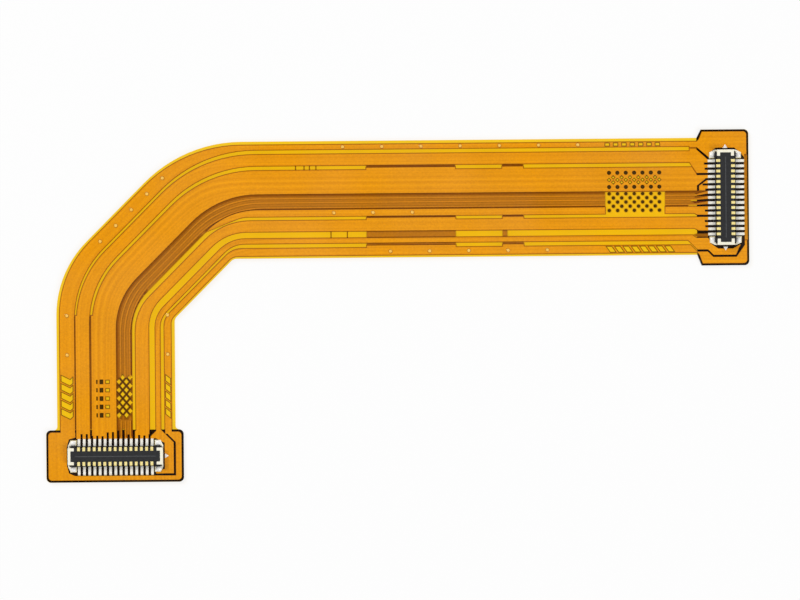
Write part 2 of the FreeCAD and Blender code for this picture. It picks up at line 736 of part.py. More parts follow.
def signal_lines():
    """Three fine lines over the brown band between the meshes, and their ends on the contacts."""
    body = layout_body("signal_lines")
    half = "Sizes.land_width / 2"
    mesh = "-Sizes.left_hatch_start"
    below = f"({mesh} - Sizes.left_hatch_length - Sizes.fine_trace)"
    beyond = "(Sizes.right_hatch_start + Sizes.hatch_length)"
    for index, shift in enumerate(("Sizes.line_first", "Sizes.line_second", "Sizes.line_third")):
        outer = bend_corners("band", shift)
        inner = bend_corners("band", f"({shift} + Sizes.fine_trace)")
        line = [(outer[0][0], mesh)] + outer + [("Sizes.right_hatch_start", outer[1][1])]
        line += [("Sizes.right_hatch_start", inner[1][1])] + inner[::-1] + [(inner[0][0], mesh)]
        left = f"({left_finger(9 + index)} - Sizes.pitch / 2)"
        start = f"({LEFT_ENDS} + Sizes.pitch / 2)"
        left_end = [(f"{left} - {half}", LEFT_ENDS), (outer[0][0], start), (outer[0][0], below),
                    (inner[0][0], below), (inner[0][0], start), (f"{left} + {half}", LEFT_ENDS)]
        right = f"({right_finger(7 + index)} + Sizes.pitch / 2)"
        fan = f"({RIGHT_ENDS} - Sizes.line_fan)"
        right_end = [(beyond, outer[1][1]), (fan, outer[1][1]), (RIGHT_ENDS, f"{right} + {half}"),
                     (RIGHT_ENDS, f"{right} - {half}"), (fan, inner[1][1]), (beyond, inner[1][1])]
        for name, corners in (("line", line), ("left_end", left_end), ("right_end", right_end)):
            pad(body, f"signal_{name}_{index}", corners[::-1], CORE_TOP, size("copper_thick"))
    return body


def left_ring():
    """The copper round the left paddle, open where the strips come in."""
    across, along = LEFT_ROW
    top = f"({LEFT_TOP} - Sizes.copper_rim)"
    left = f"({left_finger(0)} - {HALF_ISOLATION})"
    end = f"({across} - Sizes.opening_length / 2)"
    low = f"({along} - Sizes.opening_depth / 2)"
    start = offset("side", "guard_inner")
    shoulder = f"({HALF_BLOCK} + Sizes.isolation)"
    reach = "(Sizes.fitting_foot_reach + Sizes.fine_trace)"
    inner = [
        (left, top),
        (left, f"{along} + Sizes.land_reach + Sizes.fine_trace"),
        (f"{across} - {shoulder}", f"{along} + {reach}"),
        (end, f"{along} + {RISER_IN}"),
        (end, f"{along} - {RISER_IN}"),
        (f"{across} - {shoulder}", f"{along} - {reach}"),
        (left, low),
        (FILM_SIDE, low),
        (FILM_SIDE, f"{top} - ({FILM_SIDE} - {start})"),
        (start, top),
    ]
    return left_paddle_corners("Sizes.copper_rim", "Sizes.copper_rim") + inner


def right_ring():
    """The copper round the right paddle, from the outer guard strip to its lower slant."""
    across, along = RIGHT_ROW
    lifted = f"-({offset('run', 'gap_first')} + Sizes.isolation / 2)"
    side = "Sizes.outer_land_reach"
    low = f"({along} - Sizes.opening_length / 2)"
    high = f"({along} + Sizes.opening_length / 2)"
    start = f"({RIGHT_START} + Sizes.copper_rim)"
    inside = f"({across} - {side} + 0.6 * Sizes.isolation)"
    inner = [
        (start, f"-{FILM_RUN}"),
        (start, GUARD_SHELF),
        (inside, GUARD_SHELF),
        (f"{inside} + Sizes.shelf_drop", f"{GUARD_SHELF} - Sizes.shelf_drop"),
        (f"({across} + Sizes.rail_out + 0.3 * Sizes.isolation)", f"{GUARD_SHELF} - Sizes.shelf_drop"),
        (f"({across} + {side})", f"{low} + 0.7 * Sizes.isolation"),
        (f"({across} + {side})", f"{high} - 2 * Sizes.paddle_radius"),
        (f"({across} + Sizes.fitting_foot_reach)", f"{high} - Sizes.paddle_radius"),
        (f"({across} + Sizes.riser_out)", f"{high} + Sizes.isolation / 3"),
        (f"({across} - Sizes.riser_out)", f"{high} + Sizes.isolation / 3"),
        (f"({across} - Sizes.fitting_foot_reach)", f"{high} - Sizes.paddle_radius"),
        (f"({RIGHT_ENDS} + Sizes.fine_trace)", f"({right_finger(0)} + {HALF_ISOLATION})"),
        (RIGHT_START, lifted),
        (RIGHT_START, f"-{offset('run', 'guard_outer')}"),
        (start, "-Sizes.fine_trace"),
    ]
    return right_paddle_corners("Sizes.copper_rim") + inner


def guard_inner_end():
    """Right end of the inner guard strip, which steps down into the right paddle's copper."""
    end = f"({RIGHT_START} + Sizes.copper_rim)"
    fall = f"(-{GUARD_SHELF} - {offset('run', 'guard_inner')})"
    return [(STEP_IN, f"-{offset('run', 'guard_inner')}"), (f"({STEP_IN} + {fall})", GUARD_SHELF),
            (end, GUARD_SHELF), (end, f"-{FILM_RUN}"), (RIGHT_START, f"-{offset('run', 'inner_margin')}")]


def run_guard_windows(body):
    """The openings in both guard strips over the right hatched zone."""
    start = "Sizes.right_hatch_start"
    bar = "Sizes.hatch_bar"
    high = f"(-{offset('run', 'guard_outer')} - {bar} / 3)"
    low = f"(-{offset('run', 'gap_first')} + {bar} / 3)"
    cell = rectangle(start, f"{start} + Sizes.hatch_pitch - Sizes.hatch_wall", low, high)
    window(body, "guard_cell", cell, "X_Axis", 7)
    high = f"(-{offset('run', 'guard_inner')} - {bar} / 3)"
    low = f"(-{offset('run', 'inner_margin')} + {bar} / 3)"
    end = f"({start} + Sizes.hatch_pitch - 1.5 * {bar})"
    lean = "0.55 * Sizes.hatch_pitch"
    slant = [(start, high), (end, high), (f"{end} + {lean}", low), (f"{start} + {lean}", low)]
    window(body, "guard_slant", slant, "X_Axis", 8)


def side_guard_windows(body):
    """The openings in both guard strips over the left hatched zone."""
    bar = "Sizes.hatch_bar"
    low = "(-Sizes.left_hatch_start - Sizes.left_hatch_length)"
    high = f"({low} + Sizes.hatch_pitch - {bar})"
    left = f"({offset('side', 'guard_outer')} + {bar} / 2)"
    right = f"({offset('side', 'gap_first')} - {bar})"
    middle = f"({right} - 0.4 * Sizes.hatch_pitch)"
    lean = "0.55 * Sizes.hatch_pitch"
    short = "0.35 * Sizes.hatch_pitch"
    chevron = [(left, f"{low} + {lean}"), (middle, low), (right, f"{low} + {short}"),
               (right, f"{high} + {short}"), (middle, high), (left, f"{high} + {lean}")]
    window(body, "guard_chevron", chevron, "Y_Axis", 5)
    left = f"({offset('side', 'guard_inner')} + {bar} / 3)"
    right = f"({offset('side', 'inner_margin')} - {bar} / 3)"
    leaf = [(left, f"{low} + {lean}"), (right, low), (right, high), (left, f"{high} + {lean}")]
    window(body, "guard_leaf", leaf, "Y_Axis", 5)


def ground_copper(bare):
    """Both guard strips and the copper round the two paddles."""
    low = f"({LEFT_TOP} - 2 * Sizes.copper_rim)"
    lifted = f"-({offset('run', 'gap_first')} + Sizes.isolation / 2)"
    end = f"({RIGHT_START} + Sizes.copper_rim)"
    outer_end = [(end, f"-{offset('run', 'guard_outer')}"), (end, lifted), (STEP_IN, lifted),
                 (STEP_IN, f"-{offset('run', 'gap_first')}")]
    body = copper("ground_blank", strip("guard_outer", "gap_first", low, end, (), outer_end))
    inner = strip("guard_inner", "inner_margin", low, end, (), guard_inner_end())
    for name, corners in (("inner_guard", inner), ("left_ring", left_ring()), ("right_ring", right_ring())):
        pad(body, name, corners[::-1], CORE_TOP, size("copper_thick"))
    run_laps(body, "guard_inner")
    run_guard_windows(body)
    side_guard_windows(body)
    window(body, "right_edge_gap", right_edge())
    return cut_out("ground_copper", body, bare)


def right_edge():
    """The stretch of the right paddle's far edge where the lower copper shows."""
    across, along = RIGHT_ROW
    half = f"({HALF_ROW} + 0.3)"
    edge = "(Sizes.right_reach - Sizes.copper_rim + Sizes.rail_tie_gap)"
    return rectangle(f"({across} + Sizes.outer_land_reach)", edge, f"{along} - {half}", f"{along} + {half}")


# Lower copper


def lower(body, name, outline):
    return pad(body, name, outline, UNDER_COPPER, size("copper_thick"))


def lower_window(body, name, outline, axis=None, length=None, count=1, second=None):
    feature = pocket(body, name, outline, CORE_BOTTOM, size("copper_thick"))
    if axis:
        repeat(body, feature, axis, length, count, second)


def mesh_window(body):
    """The crossed bars of the band near the left paddle: two staggered sets of lozenge openings."""
    first = "(-Sizes.left_hatch_start - Sizes.left_hatch_length + Sizes.hatch_pitch / 2)"
    start = f"({offset('side', 'band')} + Sizes.hatch_margin)"
    wide = "(Sizes.mesh_pitch / 2 - Sizes.mesh_bar)"
    tall = "(Sizes.hatch_pitch / 2 - Sizes.mesh_bar)"
    rows = ("Y_Axis", "4 * Sizes.hatch_pitch", 5)
    for index in range(2):
        x = f"({start} + {index} * Sizes.mesh_pitch / 2)"
        y = f"({first} + {index} * Sizes.hatch_pitch / 2)"
        hole = lozenge(x, y, wide, tall)
        lower_window(body, f"mesh_set_{index}", hole, "X_Axis", size("mesh_pitch"), 2, rows)


def cross_patches(body):
    """The two patches of lower copper that cross the long arm and darken its gaps."""
    high = f"(-{offset('run', 'gap_second')} + Sizes.copper_lap)"
    low = f"(-{offset('run', 'guard_inner')} - Sizes.copper_lap)"
    for name in ("patch", "short_patch"):
        start = f"Sizes.{name}_start"
        lower(body, f"{name}_cross", rectangle(start, f"{start} + Sizes.{name}_length", low, high))


def bottom_plane(cutters):
    """The lower copper: the brown band, its cross patches and its hatched zones."""
    body = layout_body("bottom_plane_blank")
    lower(body, "band_copper", strip("band", "gap_third", LEFT_ENDS, RIGHT_ENDS))
    cross_patches(body)
    stub = "(Sizes.short_patch_start + Sizes.short_patch_stub)"
    past = "(Sizes.short_patch_start + Sizes.short_patch_length + Sizes.copper_lap)"
    lower_window(body, "short_patch_gap", rectangle(stub, past, f"-{offset('run', 'return_strip')}",
                                                    f"-{offset('run', 'gap_fourth')}"))
    start = "Sizes.right_hatch_start"
    end = f"({start} + Sizes.hatch_length)"
    band = f"-{offset('run', 'band')}"
    for index in range(2):
        middle = f"({band} + (0.5 + 1.7 * {index}) * Sizes.hatch_pitch)"
        backing = rectangle(start, end, f"{middle} - Sizes.hatch_wall", f"{middle} + Sizes.hatch_wall")
        lower(body, f"right_backing_{index}", backing)
    side = offset("side", "band")
    deep = "(-Sizes.left_hatch_start - Sizes.left_hatch_length)"
    backing = rectangle(f"{side} - 2.5 * Sizes.hatch_pitch", f"{side} - 1.4 * Sizes.hatch_pitch", deep,
                        "-Sizes.left_hatch_start")
    lower(body, "left_backing", backing)
    mesh_window(body)
    far = f"(-{offset('run', 'gap_third')} - Sizes.isolation)"
    lower_window(body, "dot_window", rectangle(start, end, far, f"{band} - Sizes.hatch_bar / 3"))
    return cut_out("bottom_plane", body, cutters)


def bottom_bridges():
    """Lower copper islands beside the band: under the short arm's gaps and in the right paddle."""
    body = layout_body("bottom_bridges")
    left = f"({offset('side', 'gap_first')} - Sizes.copper_lap)"
    right = f"({offset('side', 'main_plane')} + Sizes.copper_lap)"
    low = f"({LEFT_TOP} + Sizes.copper_lap)"
    lower(body, "side_bridge", rectangle(left, right, low, "-Sizes.side_bridge_start"))
    lower(body, "edge_bridge", right_edge())
    high = f"({right_finger(14)} - Sizes.isolation)"
    lens = [(f"({RIGHT_ENDS} - 2.8 * Sizes.pitch)", f"{right_finger(15)} + Sizes.isolation"),
            (RIGHT_START, high), (RIGHT_ENDS, high), (RIGHT_ENDS, right_finger(15)),
            (RIGHT_START, right_finger(15))]
    lower(body, "last_contact_bridge", lens[::-1])
    return body


def mesh_dots():
    """The round dots of lower copper left in the right window, two staggered sets."""
    body = layout_body("mesh_dots")
    band = offset("run", "band")
    for index in range(2):
        x = f"(Sizes.right_hatch_start + Sizes.hatch_pitch / 2 * {1 + index})"
        y = f"(-{band} - Sizes.hatch_pitch / 2 * ({5 - index} - 0.4))"
        rows = ("Y_Axis", f"{2 - index} * Sizes.hatch_pitch", 3 - index)
        feature = lower(body, f"dot_{index}", (x, y, "Sizes.mesh_dot"))
        repeat(body, feature, "X_Axis", f"{6 - index} * Sizes.hatch_pitch", 7 - index, rows)
    return body


def via_row(sketch, start, direction, across, count):
    """Barrels at the via pitch along a strip: direction is run, side or bend."""
    for step in range(count):
        along = f"(Sizes.via_start_{start} + {step} * Sizes.via_pitch)"
        if direction == "run":
            spot = (along, f"-{across}")
        elif direction == "side":
            spot = (across, f"-(Sizes.via_start_{start} - {step} * Sizes.via_pitch)")
        else:
            x = f"(Sizes.via_start_{start} + {step} * 0.4 * Sizes.via_pitch)"
            spot = (x, f"({x} - Sizes.bend_leg - {across} * sqrt(2))")
        draw_circle(sketch, *spot, "Sizes.via_radius")


def guard_vias():
    """Plated barrels through the core film, along the guard strips and the slim strip."""
    body = layout_body("guard_vias")
    sketch = new_sketch(body, "barrels", level=CORE_BOTTOM)

    def middle(leg, name):
        return f"({offset(leg, name)} + Sizes.{name}_{leg} / 2)"

    slim = f"({offset('run', 'gap_third')} + Sizes.centre_width / 2)"
    via_row(sketch, "outer", "run", middle("run", "guard_outer"), 7)
    via_row(sketch, "inner", "run", middle("run", "guard_inner"), 5)
    via_row(sketch, "slim", "run", slim, 3)
    via_row(sketch, "side", "side", middle("side", "guard_outer"), 2)
    via_row(sketch, "side", "side", middle("side", "guard_inner"), 2)
    via_row(sketch, "bend", "bend", middle("bend", "guard_outer"), 5)
    feature = body.newObject("PartDesign::Pad", "barrel_pads")
    feature.Profile = sketch
    feature.setExpression("Length", "Sizes.core_thick")
    return body


# Connectors. Each is drawn about its own centre, with the contact row along x.

TAIL_LOW = f"({COPPER_TOP} + Sizes.solder_lift)"
TAIL_TOP = f"({TAIL_LOW} + Sizes.tail_thick)"
BLOCK_TOP = f"({COPPER_TOP} + Sizes.housing_top)"
PLATE_TOP = f"({BLOCK_TOP} + Sizes.plate_thick)"
RISER_IN = "(Sizes.riser_out - Sizes.riser_thick)"
HALF_BLOCK = "(Sizes.housing_length / 2)"
FIRST_CONTACT = f"(-{HALF_ROW} + Sizes.pitch / 2)"
FOOT_IN = "(Sizes.rail_out + Sizes.fitting_gap)"
HEEL = f"({HALF_BLOCK} + Sizes.fitting_heel)"


def profile_pad(body, name, corners, start, width):
    """A slab whose outline is drawn across the connector, from a place along its row."""
    sketch = new_sketch(body, f"{name}_outline", "YZ_Plane", start)
    draw_outline(sketch, corners)
    feature = body.newObject("PartDesign::Pad", name)
    feature.Profile = sketch
    feature.setExpression("Length", width)
    return feature


def mirrored(corners, side):
    return [(f"{side} * ({y})", z) for y, z in corners]


def tail_reach(side):
    """How far a tail reaches from the middle: the row towards the cable, side 1, is shorter."""
    return "(Sizes.tail_reach - Sizes.inner_tail_cut)" if side == 1 else "Sizes.tail_reach"


def contact_row(name, row, degrees, side):
    """One row of contacts: tail on its land, riser in the housing, plate on its top."""
    body = connector_body(name, row, degrees)
    reach = tail_reach(side)
    corners = [
        (RISER_IN, TAIL_LOW), (reach, TAIL_LOW), (reach, TAIL_TOP),
        ("Sizes.riser_out", TAIL_TOP), ("Sizes.riser_out", PLATE_TOP), ("Sizes.contact_in", PLATE_TOP),
        ("Sizes.contact_in", BLOCK_TOP), (RISER_IN, BLOCK_TOP),
    ]
    start = f"({FIRST_CONTACT} - Sizes.contact_width / 2)"
    feature = profile_pad(body, f"{name}_one", mirrored(corners, side), start, size("contact_width"))
    repeat(body, feature, "X_Axis", "(Sizes.contacts - 1) * Sizes.pitch", "Sizes.contacts")


def housing(name, row, degrees):
    """The moulded insulator: block, side rails over the tails, and the raised ridge."""
    body = connector_body(name, row, degrees)
    half_ridge = "(Sizes.ridge_width / 2)"
    tie = f"({HALF_ROW} + Sizes.rail_tie_gap)"
    out = "Sizes.rail_out"
    pad(body, f"{name}_block", rectangle(f"-{HALF_BLOCK}", HALF_BLOCK, f"-{RISER_IN}", RISER_IN),
        TAIL_LOW, f"{BLOCK_TOP} - {TAIL_LOW}")
    end = f"({HALF_BLOCK} + Sizes.rail_cheek)"
    slabs = (
        ("far_rail", f"-{end}", end, "Sizes.riser_out", out),
        ("near_rail", f"-{end}", end, f"-{out}", "-Sizes.riser_out"),
        ("right_tie", tie, HALF_BLOCK, f"-{out}", out),
        ("left_tie", f"-{HALF_BLOCK}", f"-{tie}", f"-{out}", out),
    )
    for part, left, right, low, high in slabs:
        pad(body, f"{name}_{part}", rectangle(left, right, low, high), TAIL_TOP, "Sizes.rail_height")
    ridge = pad(body, f"{name}_ridge", rectangle(f"-{HALF_BLOCK}", HALF_BLOCK, f"-{half_ridge}", half_ridge),
                BLOCK_TOP, "Sizes.ridge_rise")
    body.Tip = ridge


def hold_down(name, row, degrees):
    """The metal bracket round one end of the housing, with a soldered foot each side."""
    body = connector_body(name, row, degrees)
    far = f"({HALF_BLOCK} + Sizes.fitting_thick)"
    reach = "Sizes.fitting_foot_reach"
    toe = f"({HEEL} - Sizes.fitting_foot_length)"
    arm = f"({HALF_BLOCK} - Sizes.fitting_arm)"
    foot = [(HALF_BLOCK, FOOT_IN), (toe, FOOT_IN), (toe, reach), (HEEL, reach), (far, FOOT_IN),
            (far, f"-{FOOT_IN}"), (HEEL, f"-{reach}"), (toe, f"-{reach}"), (toe, f"-{FOOT_IN}"),
            (HALF_BLOCK, f"-{FOOT_IN}")]
    pad(body, f"{name}_feet", foot, TAIL_LOW, "Sizes.tail_thick")
    hoop = [(HALF_BLOCK, "Sizes.contact_in"), (arm, "Sizes.contact_in"), (arm, RISER_IN), (far, RISER_IN),
            (far, f"-{RISER_IN}"), (arm, f"-{RISER_IN}"), (arm, "-Sizes.contact_in"),
            (HALF_BLOCK, "-Sizes.contact_in")]
    bar = rectangle(HALF_BLOCK, far, f"-{RISER_IN}", RISER_IN)
    pad(body, f"{name}_bar", bar, TAIL_LOW, f"{BLOCK_TOP} - {TAIL_LOW}")
    pad(body, f"{name}_hoop", hoop, BLOCK_TOP, "Sizes.plate_thick")


def foot_corners(margin):
    """The rectangle under one foot of a hold-down, at the near left end."""
    toe = f"({HEEL} - Sizes.fitting_foot_length)"
    return rectangle(f"-{HEEL} - {margin}", f"-{toe} + {margin}", f"-Sizes.fitting_foot_reach - {margin}",
                     f"-{FOOT_IN} + {margin} / 2")


def four_feet(body, name, margin, bottom, height):
    """The same slab under all four feet of a connector's hold-downs."""
    feature = pad(body, name, foot_corners(margin), bottom, height)
    along = f"2 * {HEEL} - Sizes.fitting_foot_length"
    across = f"{FOOT_IN} + Sizes.fitting_foot_reach + {margin} / 2"
    repeat(body, feature, "X_Axis", along, 2, ("Y_Axis", across, 2))


def lands(name, row, degrees):
    """The bare plated lands of one connector."""
    body = connector_body(name, row, degrees)
    half = "Sizes.land_width / 2"
    for row_name, low, high in (("outer", "-Sizes.outer_land_reach", "-Sizes.land_in"),
                                ("inner", "Sizes.land_in", "Sizes.land_reach")):
        corners = rectangle(f"{FIRST_CONTACT} - {half}", f"{FIRST_CONTACT} + {half}", low, high)
        feature = pad(body, f"{name}_{row_name}", corners, CORE_TOP, size("copper_thick"))
        repeat(body, feature, "X_Axis", "(Sizes.contacts - 1) * Sizes.pitch", "Sizes.contacts")
    four_feet(body, f"{name}_foot", "Sizes.fitting_land_margin", CORE_TOP, size("copper_thick"))
    return body


def solder(name, row, degrees):
    """The solder under and in front of every tail, and under the feet."""
    body = connector_body(name, row, degrees)
    start = f"({FIRST_CONTACT} - Sizes.contact_width / 2)"
    for index, side in enumerate((1, -1)):
        reach = tail_reach(side)
        corners = [("Sizes.land_in", COPPER_TOP), (f"({reach} + Sizes.solder_toe)", COPPER_TOP),
                   (reach, f"{TAIL_LOW} + Sizes.tail_thick * 0.8"), (reach, TAIL_LOW),
                   ("Sizes.land_in", TAIL_LOW)]
        feature = profile_pad(body, f"{name}_{index}", mirrored(corners, side), start, size("contact_width"))
        repeat(body, feature, "X_Axis", "(Sizes.contacts - 1) * Sizes.pitch", "Sizes.contacts")
    four_feet(body, f"{name}_foot", "0", COPPER_TOP, size("solder_lift"))


def orientation_mark(name, row, degrees, ends):
    """Small printed triangles beyond the ends of a connector, on the top coverlay."""
    body = connector_body(name, row, degrees)
    near = "(Sizes.opening_length / 2 + Sizes.ink_thick * 2)"
    half = "Sizes.mark_size / 2"
    for index, side in enumerate(ends):
        corners = [(f"{side} * {near}", f"-{half}"), (f"{side} * {near}", half),
                   (f"{side} * ({near} + Sizes.mark_size * 0.8)", "0")]
        pad(body, f"{name}_{index}", corners[::side], FILM_TOP, size("ink_thick"))


def connector(side, row, degrees, marks):
    solder(f"{side}_solder", row, degrees)
    housing(f"{side}_housing", row, degrees)
    contact_row(f"{side}_contacts_inner", row, degrees, 1)
    contact_row(f"{side}_contacts_outer", row, degrees, -1)
    hold_down(f"{side}_hold_down_first", row, degrees)
    hold_down(f"{side}_hold_down_last", row, degrees + 180)
    orientation_mark(f"{side}_orientation_mark", row, degrees, marks)


# Films


def left_opening():
    across, along = LEFT_ROW
    half = "Sizes.opening_length / 2"
    return rectangle(f"{across} - {half}", f"{across} + {half}", f"{along} - Sizes.opening_depth / 2",
                     f"{along} + Sizes.opening_inner", "Sizes.paddle_radius")


def right_opening():
    across, along = RIGHT_ROW
    half = "Sizes.opening_length / 2"
    return rectangle(f"{across} - Sizes.opening_inner", f"{across} + Sizes.opening_depth / 2",
                     f"{along} - {half}", f"{along} + {half}", "Sizes.paddle_radius")


def bonded(name, body, pieces):
    """A film with the shapes of the pieces that it is bonded round taken out."""
    body.Label = f"{name}_blank"
    tool = pieces[0]
    if len(pieces) > 1:
        tool = doc.addObject("Part::Compound", f"{name}_pieces")
        tool.Links = pieces
    return cut_out(name, body, tool)


def films(upper, under, vias):
    bonded("base_film", film("base_film_blank", CORE_BOTTOM, "core_thick"), [vias])
    cover = film("top_coverlay_blank", CORE_TOP, "cover_thick")
    pocket(cover, "left_opening", left_opening(), FILM_TOP, size("cover_thick"))
    pocket(cover, "right_opening", right_opening(), FILM_TOP, size("cover_thick"))
    bonded("top_coverlay", cover, upper)
    bottom = film("bottom_coverlay_blank", "Sizes.stiffener_thick", "cover_thick")
    bonded("bottom_coverlay", bottom, under)


NODES = ["base_film", "top_coverlay", "bottom_coverlay", "left_stiffener", "right_stiffener",
         "ground_copper", "power_outer", "main_plane", "power_inner", "return_strip", "centre_strip",
         "signal_lines", "bottom_plane", "bottom_bridges", "mesh_dots", "guard_vias"]
NODES += [f"{side}_{piece}" for side in ("left", "right") for piece in (
    "lands", "solder", "housing", "contacts_inner", "contacts_outer", "hold_down_first",
    "hold_down_last", "orientation_mark")]


def check_document():
    for item in doc.Objects:
        if "Invalid" in item.State or "Error" in item.State:
            raise RuntimeError(f"{item.Label} did not build: {item.State}")


def node_shape(name):
    shape = doc.getObjectsByLabel(name)[0].Shape
    if shape.isNull() or not shape.isValid() or not shape.Solids:
        raise RuntimeError(f"{name} has no valid solid")
    return shape


def write_parts():
    shapes = {name: node_shape(name) for name in NODES}
    os.makedirs("parts", exist_ok=True)
    for name, shape in shapes.items():
        shape.exportStep(f"parts/{name}.step")
        print(f"{name}: {len(shape.Solids)} solids, {shape.Volume:.4f} mm3")


def build():
    fill_sheet()
    left_stiffener()
    right_stiffener()
    cutters = contact_slots()
    bare = doc.addObject("Part::Compound", "all_lands")
    bare.Links = [lands("left_lands", LEFT_ROW, 0), lands("right_lands", RIGHT_ROW, 90)]
    upper = [ground_copper(bare), signal_lines()]
    upper += [make(cutters) for make in (power_outer, main_plane, power_inner, centre_strip)]
    both = doc.addObject("Part::Compound", "slots_and_lands")
    both.Links = [cutters, bare]
    upper.append(return_strip(both))
    vias = guard_vias()
    films(upper, [bottom_plane(cutters), bottom_bridges(), mesh_dots()], vias)
    connector("left", LEFT_ROW, 0, (1,))
    connector("right", RIGHT_ROW, 90, (1, -1))
    doc.recompute()
    check_document()
    write_parts()


build()
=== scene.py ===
import math

import bmesh
import bpy
import numpy as np
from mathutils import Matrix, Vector
from mathutils.geometry import delaunay_2d_cdt


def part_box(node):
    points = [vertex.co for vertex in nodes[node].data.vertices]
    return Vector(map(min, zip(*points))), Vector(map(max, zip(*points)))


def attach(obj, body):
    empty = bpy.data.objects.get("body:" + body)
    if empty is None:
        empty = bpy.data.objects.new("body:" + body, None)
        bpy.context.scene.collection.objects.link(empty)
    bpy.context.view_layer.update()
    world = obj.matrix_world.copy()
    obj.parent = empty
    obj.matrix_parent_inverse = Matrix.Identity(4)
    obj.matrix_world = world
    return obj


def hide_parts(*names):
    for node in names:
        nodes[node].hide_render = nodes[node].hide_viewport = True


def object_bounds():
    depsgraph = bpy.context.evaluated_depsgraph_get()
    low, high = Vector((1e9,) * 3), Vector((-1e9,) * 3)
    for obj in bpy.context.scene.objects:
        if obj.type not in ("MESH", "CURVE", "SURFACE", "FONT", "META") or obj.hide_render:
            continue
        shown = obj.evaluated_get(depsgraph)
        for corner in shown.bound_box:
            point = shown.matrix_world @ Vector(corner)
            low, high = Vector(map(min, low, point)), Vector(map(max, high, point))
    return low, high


# A flexible printed circuit, lying on a pale table and seen from straight above. Names that end
# in _MM hold millimetres, and everything handed to Blender is in metres.

MM = 0.001
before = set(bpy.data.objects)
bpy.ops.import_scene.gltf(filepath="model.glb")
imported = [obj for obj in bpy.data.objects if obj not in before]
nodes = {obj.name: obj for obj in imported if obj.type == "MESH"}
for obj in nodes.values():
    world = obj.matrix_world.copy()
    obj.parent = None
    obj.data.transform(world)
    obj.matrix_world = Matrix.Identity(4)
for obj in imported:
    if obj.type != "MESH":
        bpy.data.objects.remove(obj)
cad_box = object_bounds()

# The photograph's frame: its size, its width on the object, where the object's centre lies in
# it in pixels, and how far the object is turned
PHOTO_WIDTH = 800
PHOTO_HEIGHT = 600
PHOTO_WIDTH_MM = 61.2
CENTRE_IN_PHOTO = (397.4, 306.0)
PHOTO_ROLL_DEG = -0.5

# The copper nodes: the upper strips, the fine lines beside them, and the lower copper
UPPER_STRIPS = ("ground_copper", "power_outer", "main_plane", "power_inner", "return_strip",
                "centre_strip")
UPPER_COPPER = UPPER_STRIPS + ("signal_lines",)
LOWER_COPPER = ("bottom_plane", "bottom_bridges", "mesh_dots")
SIDES = ("left", "right")

# The film's slope beside the copper under it, and the share of the slope that still counts as flat
FOLD_WIDTH_MM = 0.06
FOLD_DEPTH_MM = 0.008
FLAT_SHARE = 1e-3

# How far painted shade darkens the film over lower copper: beside the main plane, beside the
# centre strip, and inward from the lower copper's own rim, with a darker painted lip at the rim
# itself
SHADE_WIDTH_MM = 0.20
STRIP_SHADE_MM = 0.13
RIM_WIDTH_MM = 0.09
LIP_WIDTH_MM = 0.045

# The margin along the film's outer edge, painted brighter as the glow of its cut edge catching
# light
GLOW_MARGIN_MM = 0.20

# Holes up to this size are cells of the hatched patterns, and lines round the lower copper's
# cells get dark painted shade within this distance
CELL_SIZE_MM = 1.2
LATTICE_REACH_MM = 0.30

# A copper outline longer than this along x is a strip's own and not a hole's
STRIP_OUTLINE_MM = 10

# Between these distances from the cable's outer edge, the lower copper is dark behind the main
# plane's marks
BACKING_MM = (2.2, 3.9)

# The contacts' tails end below this height
TAIL_TOP_MM = 0.60

# Rounded edges: how wide on solder and on the other hard parts, from which angle an edge counts
# as sharp, and up to which angle neighbouring facets are one face
SOLDER_ROUND_MM = 0.02
PART_ROUND_MM = 0.03
SHARP_ANGLE_DEG = 25
FLAT_ANGLE_DEG = 1
ROUND_SEGMENTS = 3

# Solder over the hold-downs' feet: its middle, in from the hold-down's outer end and out from
# the connector's middle line, its half width and length, foot and rise, and its plan, an oval
# of this power that is cut back toward the connector's corner
BLOB_IN_MM = 0.37
BLOB_OUT_MM = 1.00
BLOB_HALF_MM = (0.24, 0.22)
BLOB_BASE_MM = 0.36
BLOB_RISE_MM = 0.15
BLOB_SIDES = 24
BLOB_RINGS = 5
BLOB_POWER = 2.6
BLOB_CUT = 0.12

# The seam along a housing's ridge, coloured lighter than the moulding as a painted highlight
SEAM_END_MM = 0.45
SEAM_HALF_MM = 0.035
SEAM_RISE_MM = 0.004

# Slivers across the gaps between two strips of the straight run: the strips, and where the
# slivers lie along x. A strip's edge longer than RUN_LENGTH_MM and no steeper than RUN_SLOPE_MM
# belongs to that run
GAP_BARS = (("power_outer", "main_plane", (-7.70, -7.05, -6.64, -6.14)),
            ("power_inner", "return_strip", (-5.03, -3.78)))
BAR_WIDTH_MM = 0.085
RUN_LENGTH_MM = 8.0
RUN_SLOPE_MM = 0.01

# The plated vias show as low domes in the film, coloured with a painted highlight, in a ring of
# painted shade. A point up to DOME_TOLERANCE times the radius away lies on the dome
DOME_RADIUS_MM = 0.12
DOME_RING_MM = 0.04
DOME_RISE_MM = 0.012
DOME_SIDES = 14
DOME_TOLERANCE = 1.01

# Where the cable's outer edges run, in from the left and top of the CAD model's box, how much
# of each the bend cuts off, and over what width the distances blend at the bend
SIDE_EDGE_MM = 0.86
RUN_EDGE_MM = 0.63
BEND_LEG_MM = 9.88
BEND_BLEND_MM = 3.0

# Outlines are matched on a fine grid, from points this near a level, and cut with a fine
# tolerance. Points nearer than the weld distance become one. In metres, but for the _MM one
GRID_PER_METRE = 1e7
LEVEL_TOLERANCE = 1e-6
WELD_DISTANCE = 1e-8
CUT_TOLERANCE_MM = 1e-5

# The least share that a widened corner is divided by, which keeps sharp corners short, and
# what stands in for a level line's rise of zero
MITRE_LIMIT = 0.4
TINY = 1e-12

# A block's faces, for corners in the order bottom and then top, anticlockwise from above
BLOCK_FACES = ((3, 2, 1, 0), (4, 5, 6, 7), (0, 1, 5, 4), (1, 2, 6, 5), (2, 3, 7, 6), (3, 0, 4, 7))


# Materials

